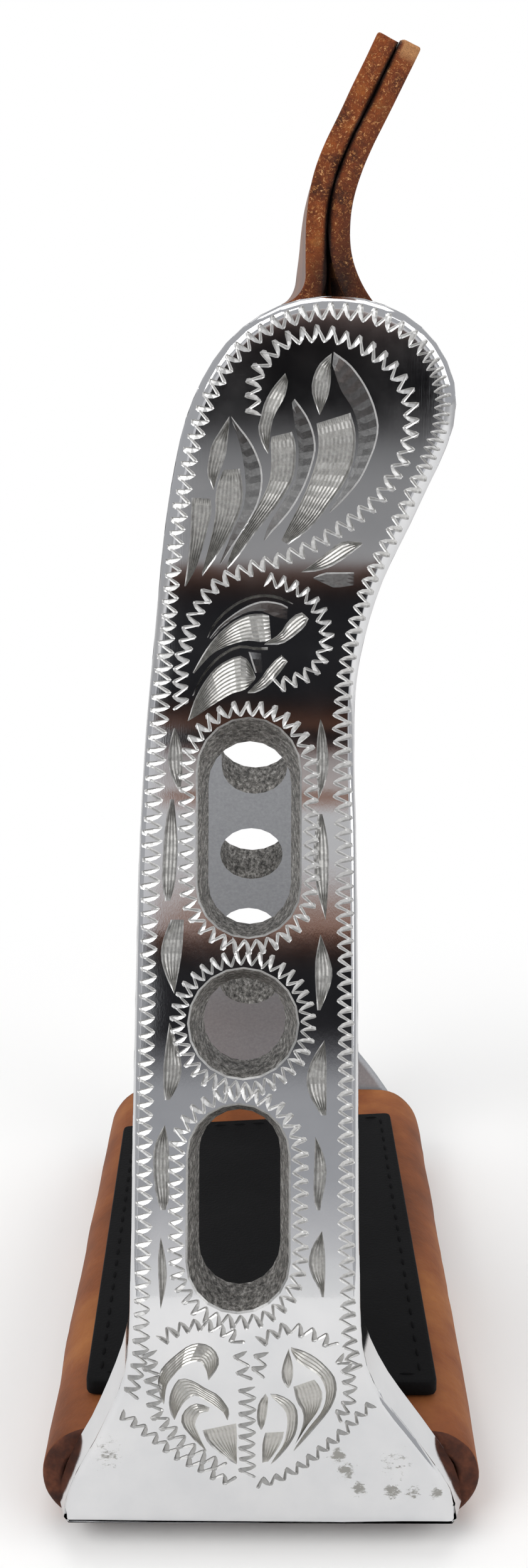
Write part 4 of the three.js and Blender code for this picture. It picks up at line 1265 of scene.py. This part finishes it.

# %% [markdown]
# Leather
#
# Both leathers are vegetable-tanned and oiled. The strap's cut edge is the part that faces
# the camera: rusty brown and full of pale cut fibres. Where the two plies meet it is painted
# darker, as painted shade, and it is also darker over the right ply and low down. Two
# attributes are painted on the mesh when it is made. In "darkening" 0 is the plain edge and 1
# is near black: painted shade at the seam and in the small triangle, and that plain darkening
# elsewhere. In "fresh" 1 is the pale leather of the newly cut end. The tread's cover is
# smoother, with cloudy wear.

# %% Leather materials
def cut_edge_leather():
    """The strap's cut edge: rusty, darker at the seam with painted shade, with pale fibres standing out.
    """
    material = new_material("strap_leather_cut_edge")
    place = object_pattern(material, (1, 0.4, 1))
    clouds = add_node(material, "TexNoise", {
        "Vector": place, "Scale": 260, "Detail": 5, "Roughness": 0.65})
    grain = add_node(material, "TexNoise", {
        "Vector": place, "Scale": 1900, "Detail": 4, "Roughness": 0.7, "Distortion": 1.2})
    base = add_node(material, "ValToRGB", {"Fac": clouds.outputs["Fac"]}, stops=[
        (0.32, "#43200f"), (0.46, "#733514"), (0.58, "#8f4719"), (0.72, "#b06a30")])
    fibres = add_node(material, "ValToRGB", {"Fac": grain.outputs["Fac"]}, stops=[
        (0.46, "#4a2413"), (0.55, "#8a4a24"), (0.62, "#c88a50"), (0.74, "#ecc896")])
    fibre_amount = add_node(material, "MapRange", {
        "Value": grain.outputs["Fac"], "From Min": 0.46, "From Max": 0.64, "To Max": 0.9})
    fibrous = add_node(material, "Mix", {
        "Factor": fibre_amount.outputs["Result"], "A": base.outputs["Color"],
        "B": fibres.outputs["Color"]}, data_type="RGBA")
    # The attribute read here holds painted shade along the seam and in the small triangle, and a plain
    # darkening over the right ply and low down.
    darkening = add_node(material, "Attribute", attribute_name="darkening")
    darkening_noise = add_node(material, "Math", {0: clouds.outputs["Fac"], 1: darkening.outputs["Fac"]},
                          operation="ADD")
    darkening_amount = add_node(material, "MapRange", {
        "Value": darkening_noise.outputs[0], "From Min": 0.75, "From Max": 1.25, "To Max": 0.95})
    # Towards near black where that painted shade and darkening are strong.
    darkened = add_node(material, "Mix", {
        "Factor": darkening_amount.outputs["Result"], "A": fibrous.outputs["Result"],
        "B": linear("#1b100d")}, data_type="RGBA")
    fresh = add_node(material, "Attribute", attribute_name="fresh")
    final = add_node(material, "Mix", {
        "Factor": fresh.outputs["Fac"], "A": darkened.outputs["Result"],
        "B": linear("#b98558")}, data_type="RGBA")
    bump = add_node(material, "Bump", {
        "Height": grain.outputs["Fac"], "Strength": 0.9, "Distance": 0.0005})
    shader = add_node(material, "BsdfPrincipled", {
        "Base Color": final.outputs["Result"], "Roughness": 0.75,
        "Specular IOR Level": 0.3, "Normal": bump.outputs["Normal"]})
    return finish_material(material, shader.outputs["BSDF"])


def smooth_leather(name, colours, roughness, clouds_scale):
    """Grain side of an oiled leather: cloudy wear over fine pores."""
    material = new_material(name)
    place = object_pattern(material)
    clouds = add_node(material, "TexNoise", {
        "Vector": place, "Scale": clouds_scale, "Detail": 6, "Roughness": 0.6})
    pores = add_node(material, "TexVoronoi", {"Vector": place, "Scale": 1400})
    colour = add_node(material, "ValToRGB", {"Fac": clouds.outputs["Fac"]},
                      stops=list(zip((0.3, 0.5, 0.7), colours)))
    bump = add_node(material, "Bump", {
        "Height": pores.outputs["Distance"], "Strength": 0.25, "Distance": 0.0002})
    soft = add_node(material, "Bump", {
        "Height": clouds.outputs["Fac"], "Strength": 0.2, "Distance": 0.001,
        "Normal": bump.outputs["Normal"]})
    shader = add_node(material, "BsdfPrincipled", {
        "Base Color": colour.outputs["Color"], "Roughness": roughness, "Specular IOR Level": 0.35,
        "Normal": soft.outputs["Normal"]})
    return finish_material(material, shader.outputs["BSDF"])


strap_edge = cut_edge_leather()
strap_face = smooth_leather("strap_leather_grain_side", ("#5d3a26", "#7b5036", "#936848"), 0.32, 70)
tread_grain = smooth_leather("tread_leather_grain_side", ("#5f3219", "#824823", "#a06433"), 0.7, 45)
tread_edge = smooth_leather("tread_leather_cut_edge", ("#2f1710", "#4c2718", "#643723"), 0.85, 420)


# %% [markdown]
# A strip of leather
#
# The strap and the tread's cover are both a strip with a constant section that is bent along
# a line. The line's points lie in the XZ plane. A sheet of quads as thick as the leather is
# laid along it, extruded step by step across the width, and its cut edges are softened with
# a bevel. Small noise at the end takes away the drawn look.

# %% Strip helper
def strip_sheet(name, line, thickness, y_start, layers):
    """A sheet of quads of the leather's thickness along a line in XZ, as an object."""
    line = np.asarray(line)
    along = np.gradient(line, axis=0)
    along /= np.linalg.norm(along, axis=1)[:, None]
    side = np.column_stack([-along[:, 1], along[:, 0]])
    offsets = np.linspace(-thickness / 2, thickness / 2, layers + 1)
    rows = [[(p[0] + s[0] * o, y_start, p[1] + s[1] * o) for o in offsets]
            for p, s in zip(line, side)]
    verts = [Vector(v) * MM for row in rows for v in row]
    width = layers + 1
    quads = [(i * width + j, i * width + j + 1, (i + 1) * width + j + 1, (i + 1) * width + j)
             for i in range(len(rows) - 1) for j in range(layers)]
    mesh = bpy.data.meshes.new(name)
    mesh.from_pydata(verts, [], quads)
    strip = bpy.data.objects.new(name, mesh)
    bpy.context.scene.collection.objects.link(strip)
    return strip


def edit(thing):
    """Starts editing one object with everything in it selected."""
    bpy.ops.object.select_all(action="DESELECT")
    bpy.context.view_layer.objects.active = thing
    thing.select_set(True)
    bpy.ops.object.mode_set(mode="EDIT")
    bpy.ops.mesh.select_all(action="SELECT")


def widen_strip(strip, width, steps, bevel):
    """Extrudes the sheet across the width, then softens its hard edges."""
    edit(strip)
    for _ in range(steps):
        bpy.ops.mesh.extrude_region_move(TRANSFORM_OT_translate={"value": (0, width / steps * MM, 0)})
    bpy.ops.mesh.select_all(action="SELECT")
    bpy.ops.mesh.normals_make_consistent(inside=False)
    bpy.ops.mesh.select_all(action="DESELECT")
    bpy.ops.mesh.select_mode(type="EDGE")
    bpy.ops.mesh.edges_select_sharp(sharpness=math.radians(50))
    bpy.ops.mesh.bevel(offset=bevel * MM, segments=3, affect="EDGES", clamp_overlap=True)
    bpy.ops.object.mode_set(mode="OBJECT")
    bpy.ops.object.shade_smooth()


# Blender's vector noise starts from the clock unless it is seeded.
NOISE_SEED = 11
noise.seed_set(NOISE_SEED)


def roughen(thing, amount, size):
    """Moves each corner by smooth noise of that amount and size, in millimetres."""
    for vertex in thing.data.vertices:
        vertex.co += noise.noise_vector(vertex.co / (size * MM)) * amount * MM


def arc(centre, radius, start, end, step):
    """Points on an arc, in degrees from +X towards +Z, about one step apart."""
    length = abs(math.radians(end - start)) * radius
    count = max(int(length / step), 2)
    angles = np.radians(np.linspace(start, end, count + 1))
    return [(centre[0] + radius * math.cos(a), centre[1] + radius * math.sin(a)) for a in angles]


# %% [markdown]
# The hanger strap
#
# One strap is folded round the roller. Its two plies rise side by side, lean over to the
# right and end where they were cut. Just above the neck they part round the roller, which
# leaves a small dark triangle. The left ply's far edge flares out, so a sliver of its pale
# face shows.

# %% Strap line
STRAP_WIDTH = 50
STRAP_THICKNESS = 3.2
LOOP_RADIUS = 10.5 + 0.3 + STRAP_THICKNESS / 2
PLY_OFFSET = STRAP_THICKNESS / 2 + 0.15
SEAM_X = BOLT_X + 0.05
SEAM_BEND_Z = BOLT_Z + 23
SEAM_BEND_RADIUS = 27
STRAP_LEAN = 26.7
STRAP_STEP = 0.7
SEAM_START_Z = BOLT_Z + 12.5
TRIANGLE_Z = 189


def ply_line(side, fillet, straight):
    """One ply from its cut end down to where it meets the loop, and that meeting angle."""
    x = SEAM_X + side * PLY_OFFSET
    fillet_x = x + side * fillet
    rise = math.sqrt((LOOP_RADIUS + fillet) ** 2 - (fillet_x - BOLT_X) ** 2)
    centre = (fillet_x, BOLT_Z + rise)
    towards = math.degrees(math.atan2(-rise, BOLT_X - fillet_x))
    bend_radius = SEAM_BEND_RADIUS - side * PLY_OFFSET
    bend_centre = (SEAM_X + SEAM_BEND_RADIUS, SEAM_BEND_Z)
    upper = arc(bend_centre, bend_radius, 180 - STRAP_LEAN, 180, STRAP_STEP)
    lean = math.radians(STRAP_LEAN)
    count = int(straight / STRAP_STEP)
    top = [(upper[0][0] + math.sin(lean) * straight * (1 - i / count),
            upper[0][1] + math.cos(lean) * straight * (1 - i / count)) for i in range(count)]
    gap = SEAM_BEND_Z - centre[1]
    middle = [(x, SEAM_BEND_Z - gap * t) for t in np.arange(0.1, 1, 0.1)] if gap > 1 else []
    start, end = (0, towards) if side < 0 else (180, 360 + towards)
    lower = arc(centre, fillet, start, end, STRAP_STEP)
    return top + upper + middle + lower, towards + 180


left_ply, left_touch = ply_line(-1, 6, 16.3)
right_ply, right_touch = ply_line(1, 17.9, 17.1)
loop = arc((BOLT_X, BOLT_Z), LOOP_RADIUS, left_touch, right_touch + 360, STRAP_STEP)
strap_line = left_ply + loop[1:-1] + right_ply[::-1]
strap_line = [p for i, p in enumerate(strap_line) if i == 0 or math.dist(p, strap_line[i - 1]) > 0.05]
print("Strap line:", len(strap_line), "points")


# %% Strap piece
def paint(thing, name, values):
    """Keeps one number per corner point as a named attribute."""
    attribute = thing.data.attributes.new(name, "FLOAT", "POINT")
    attribute.data.foreach_set("value", np.clip(values, 0, 1))


def right_of_seam(points):
    """How far each point lies to the right of the seam, square to the plies, in mm."""
    lean = np.radians(STRAP_LEAN)
    from_centre = points[:, [0, 2]] - np.array([SEAM_X + SEAM_BEND_RADIUS, SEAM_BEND_Z])
    upright = points[:, 0] - SEAM_X
    curved = SEAM_BEND_RADIUS - np.linalg.norm(from_centre, axis=1)
    angle = np.arctan2(from_centre[:, 1], -from_centre[:, 0])
    straight = from_centre + SEAM_BEND_RADIUS * np.array([math.cos(lean), -math.sin(lean)])
    leaning = straight[:, 0] * math.cos(lean) - straight[:, 1] * math.sin(lean)
    return np.where(points[:, 2] < SEAM_BEND_Z, upright, np.where(angle < lean, curved, leaning))


def shape_strap(points, to_seam):
    """Moves the points: a ragged seam, a closed wedge behind the triangle and the flare."""
    upright = points[:, 0] - SEAM_X
    above = points[:, 2] > SEAM_START_Z
    front = np.clip((-22.5 - points[:, 1]) / 2.5, 0, 1)
    wobble = np.array([noise.noise(Vector(p) / 3.1) for p in points])
    fine = np.array([noise.noise(Vector(p) / 1.1 + Vector((7, 0, 0))) for p in points])
    seam = np.where(above, np.exp(-(to_seam / 0.5) ** 2), 0)
    points[:, 1] += front * seam * (1.1 + 1.2 * wobble + 0.6 * fine)
    points[:, 0] += front * seam * np.sign(to_seam) * 0.3 * np.clip(wobble, 0, 1)
    wedge = (points[:, 2] > BOLT_Z + 11) & (points[:, 2] < SEAM_BEND_Z) & (np.abs(upright) < 7)
    inner = wedge & (np.hypot(points[:, 0] - BOLT_X, points[:, 2] - BOLT_Z) < 30)
    along_wedge = np.clip((SEAM_BEND_Z - 2 - points[:, 2]) / 9, 0, 1)
    limit = 0.55 + 3 * along_wedge ** 1.5
    inside = inner & (np.abs(upright) < limit)
    back = np.clip((points[:, 1] + 22.5) / 2, 0, 1)
    points[:, 0] = np.where(inside, points[:, 0] - upright * back * 0.93, points[:, 0])
    touching = above & (np.abs(to_seam) < 0.6) & ~inside
    close = np.clip((points[:, 1] + 24.2) / 1.2, 0, 1)
    points[:, 0] -= np.where(touching, close * to_seam * 1.05, 0)
    flare = np.clip((points[:, 1] + 8) / 33, 0, 1) ** 1.5
    low = np.exp(-((points[:, 2] - TRIANGLE_Z) / 6.5) ** 2)
    points[:, 0] -= np.where((to_seam < 0) & above, 1.0 * flare * low, 0)
    points[:, 1] += front * 0.22 * fine
    return seam, upright


def paint_strap(strap, points, to_seam, seam, upright):
    """Paints the darker parts of the edge, with painted shade at the seam and in the triangle, and the
    pale skived end. Returns how far up that end reaches.
    """
    lean = math.radians(STRAP_LEAN)
    top_reach = (points[:, 0] - SEAM_X) * math.sin(lean) + points[:, 2] * math.cos(lean)
    right = np.clip(to_seam / 2.5, 0, 1)
    height = np.clip((points[:, 2] - 186) / 45, 0, 1)
    # Painted shade along the seam between the plies; the edge is also made darker over the right ply and
    # low down.
    dark_share = seam * 0.8 + right * 0.32 * (1 - 0.3 * height) + 0.2 * (1 - height)
    # Painted shade in the small triangle where the plies part round the roller.
    triangle = np.exp(-((points[:, 2] - TRIANGLE_Z) / 5) ** 2) * np.exp(-(upright / 3) ** 2)
    dark_share += 0.5 * triangle
    dark_share -= 0.25 * height * (to_seam < -0.8)
    paint(strap, "darkening", dark_share)
    skived = np.where(to_seam > 0.9, 2.4, 0.5)
    paint(strap, "fresh", np.clip((top_reach - top_reach.max() + skived) / 0.4, 0, 1) * 0.9)
    return top_reach.max()


def make_strap():
    """The folded strap with its irregular seam, dark triangle and flared far edge."""
    strap = strip_sheet("folded_strap", strap_line, STRAP_THICKNESS, -STRAP_WIDTH / 2, 8)
    widen_strip(strap, STRAP_WIDTH, 25, 0.45)
    points = np.array([v.co for v in strap.data.vertices]) / MM
    to_seam = right_of_seam(points)
    seam, upright = shape_strap(points, to_seam)
    strap.data.vertices.foreach_set("co", (points * MM).ravel())
    roughen(strap, 0.12, 6)
    top_line = paint_strap(strap, points, to_seam, seam, upright)
    strap.data.materials.append(strap_edge)
    strap.data.materials.append(strap_face)
    lean = math.radians(STRAP_LEAN)
    for polygon in strap.data.polygons:
        ends = abs(polygon.normal.y) > 0.4
        middle = points[list(polygon.vertices)].mean(axis=0)
        cut_end = top_line - (middle[0] - SEAM_X) * math.sin(lean) - middle[2] * math.cos(lean) < 1.3
        at_side = abs(middle[1]) > STRAP_WIDTH / 2 - 1
        at_seam = np.abs(to_seam[list(polygon.vertices)]).max() < 0.7 and middle[2] > BOLT_Z + 11
        polygon.material_index = 0 if ends or cut_end or at_side or at_seam else 1
    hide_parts("hanger_strap")
    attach(strap, "strap_loop")
    print("Strap:", len(strap.data.polygons), "faces")


make_strap()


# %% [markdown]
# The tread's leather cover
#
# A wide piece of leather is wrapped round the deck, and its edges meet in a seam underneath.
# At each end its cut edge shows as a thick dark C round the foot. On this stirrup it was
# cut by hand, so the edge wobbles, and the far corners are trimmed.

# %% Tread cover
COVER_THICKNESS = 3.5
cover_low, cover_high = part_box("tread_leather")
cover_half_width = cover_high.x / MM
cover_half_height = (cover_high.z - cover_low.z) / 2 / MM
SEAM_HALF_GAP = 1.0


def cover_line():
    """The middle of the leather, from one side of the seam round to the other."""
    radius = cover_half_height - COVER_THICKNESS / 2
    flat_end = cover_half_width - cover_half_height
    bottom = COVER_THICKNESS / 2
    top = 2 * cover_half_height - COVER_THICKNESS / 2
    below = [(x, bottom) for x in np.arange(SEAM_HALF_GAP, flat_end, 1.2)]
    right = arc((flat_end, cover_half_height), radius, -90, 90, 0.8)
    over = [(x, top) for x in np.arange(flat_end - 1.2, -flat_end, -1.2)]
    left = arc((-flat_end, cover_half_height), radius, 90, 270, 0.8)
    back = [(-x, bottom) for x in np.arange(SEAM_HALF_GAP, flat_end, 1.2)][::-1]
    return below + right + over + left + back


def keep_in_box(thing):
    """Presses a roughened piece back inside the box of the CAD model."""
    low, high = cad_box
    places = np.array([v.co for v in thing.data.vertices])
    thing.data.vertices.foreach_set("co", np.clip(places, low, high).ravel())


def make_cover():
    """The leather round the tread, with a hand-cut edge."""
    length = (cover_high.y - cover_low.y) / MM
    cover = strip_sheet("tread_cover", cover_line(), COVER_THICKNESS, cover_low.y / MM, 5)
    widen_strip(cover, length, 40, 0.7)
    points = np.array([v.co for v in cover.data.vertices]) / MM
    end = cover_high.y / MM
    corner = np.clip(np.abs(points[:, 0]) - (cover_half_width - 9), 0, None)
    limit = end - 0.045 * corner ** 2
    points[:, 1] = np.where(points[:, 1] > limit, limit, points[:, 1])
    cover.data.vertices.foreach_set("co", (points * MM).ravel())
    roughen(cover, 0.35, 17)
    roughen(cover, 0.1, 3)
    keep_in_box(cover)
    cover.data.materials.append(tread_grain)
    cover.data.materials.append(tread_edge)
    for polygon in cover.data.polygons:
        middle = points[list(polygon.vertices)].mean(axis=0)
        ends = abs(polygon.normal.y) > 0.35
        polygon.material_index = 1 if ends and abs(middle[1]) > 50 else 0
    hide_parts("tread_leather")
    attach(cover, "stirrup_frame")
    print("Cover:", len(cover.data.polygons), "faces")


make_cover()


# %% [markdown]
# The rubber pad and the small parts
#
# The pad is a sheet of black rubber, stitched to the leather two millimetres inside its edge.
# The deck, the roller, its bushes, the bolt, the washer and the screws keep their CAD shapes
# and only take a finish. A later row of FINISHES wins: the bushes are first caught by "roller".

# %% Rubber, thread and plain metals
def plain_material(name, colour, roughness, metallic=0.0, specular=0.5):
    """One even colour, for pieces that are small or mostly hidden."""
    material = new_material(name)
    shader = add_node(material, "BsdfPrincipled", {
        "Base Color": linear(colour), "Roughness": roughness, "Metallic": metallic,
        "Specular IOR Level": specular})
    return finish_material(material, shader.outputs["BSDF"])


def moulded_rubber():
    """Black rubber with a fine moulded tooth and a little dust."""
    material = new_material("moulded_black_rubber")
    place = object_pattern(material)
    tooth = add_node(material, "TexNoise", {"Vector": place, "Scale": 1800, "Detail": 2})
    dust = add_node(material, "TexNoise", {"Vector": place, "Scale": 60, "Detail": 5})
    colour = add_node(material, "ValToRGB", {"Fac": dust.outputs["Fac"]}, stops=[
        (0.4, "#060607"), (0.7, "#0d0d0e")])
    bump = add_node(material, "Bump", {
        "Height": tooth.outputs["Fac"], "Strength": 0.5, "Distance": 0.0002})
    shader = add_node(material, "BsdfPrincipled", {
        "Base Color": colour.outputs["Color"], "Roughness": 0.75, "Specular IOR Level": 0.15,
        "Normal": bump.outputs["Normal"]})
    return finish_material(material, shader.outputs["BSDF"])


rubber = moulded_rubber()
thread = plain_material("waxed_black_thread", "#0c0c0d", 1.0, specular=0.15)
FINISHES = (
    (plain_material("turned_steel", "#b9babd", 0.28, 1.0), ("roller",)),
    (plain_material("zinc_plated_steel", "#a9abad", 0.35, 1.0),
     ("top_bolt", "bolt_washer", "deck_screw", "wrap_screw")),
    (plain_material("sintered_bronze", "#9a7440", 0.4, 1.0), ("roller_bush",)),
    (sand_cast, ("tread_deck",)),
)
for finish, first_words in FINISHES:
    for node_name, node in nodes.items():
        if node_name.startswith(first_words):
            node.data.materials.clear()
            node.data.materials.append(finish)


# %% Pad
def merged_copy(name, new_name):
    """A copy of a CAD piece with its corners joined, so that it can be worked on."""
    copy = nodes[name].copy()
    copy.data = nodes[name].data.copy()
    copy.name = new_name
    for key in list(copy.keys()):
        del copy[key]
    copy.parent = None
    bpy.context.scene.collection.objects.link(copy)
    edit(copy)
    bpy.ops.mesh.remove_doubles(threshold=2e-6)
    bpy.ops.mesh.customdata_custom_splitnormals_clear()
    bpy.ops.mesh.dissolve_limited(angle_limit=math.radians(1))
    bpy.ops.object.mode_set(mode="OBJECT")
    return copy


def make_pad():
    """The rubber pad with a soft upper edge."""
    pad = merged_copy("tread_pad", "stitched_pad")
    edit(pad)
    bpy.ops.mesh.select_all(action="DESELECT")
    bpy.ops.mesh.select_mode(type="EDGE")
    bpy.ops.mesh.edges_select_sharp(sharpness=math.radians(60))
    bpy.ops.mesh.bevel(offset=0.5 * MM, segments=2, affect="EDGES")
    bpy.ops.object.mode_set(mode="OBJECT")
    bpy.ops.object.shade_smooth_by_angle(angle=math.radians(40))
    pad.data.materials.clear()
    pad.data.materials.append(rubber)
    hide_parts("tread_pad")
    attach(pad, "stirrup_frame")
    return pad


STITCH_INSET = 2
STITCH_LENGTH = 2.6
STITCH_GAP = 1.4


def make_stitches(pad):
    """A running stitch of waxed thread all round the pad, a little darker than the rubber."""
    top = max(v.co.z for v in pad.data.vertices)
    cloud = np.array([v.co[:2] for v in pad.data.vertices]) / MM
    middle = cloud.mean(axis=0)
    angles = np.arctan2(*(cloud - middle).T[::-1])
    corners = []
    for quadrant in range(4):
        low = -math.pi + quadrant * math.pi / 2
        inside = cloud[(angles >= low) & (angles < low + math.pi / 2)]
        corners.append(inside[np.argmax(np.abs(inside - middle).sum(axis=1))])
    corners = np.array(corners)
    corners += (middle - corners) / np.abs(middle - corners) * STITCH_INSET
    stitches = []
    for start, end in zip(corners, np.roll(corners, -1, axis=0)):
        side = end - start
        count = int(np.linalg.norm(side) / (STITCH_LENGTH + STITCH_GAP))
        for i in range(count):
            centre = start + side * (i + 0.5) / count
            turn = math.atan2(side[1], side[0])
            bpy.ops.mesh.primitive_uv_sphere_add(
                segments=8, ring_count=6, radius=0.5 * STITCH_LENGTH * MM,
                location=(centre[0] * MM, centre[1] * MM, top - 0.05 * MM), rotation=(0, 0, turn))
            stitch = bpy.context.object
            stitch.scale = (1, 0.24, 0.24)
            stitches.append(stitch)
    bpy.ops.object.select_all(action="DESELECT")
    for stitch in stitches:
        stitch.select_set(True)
    bpy.context.view_layer.objects.active = stitches[0]
    bpy.ops.object.join()
    joined = bpy.context.object
    joined.name = "pad_stitches"
    bpy.ops.object.transform_apply(location=True, rotation=True, scale=True)
    bpy.ops.object.shade_smooth()
    joined.data.materials.append(thread)
    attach(joined, "stirrup_frame")
    print("Stitches:", len(stitches))


make_stitches(make_pad())
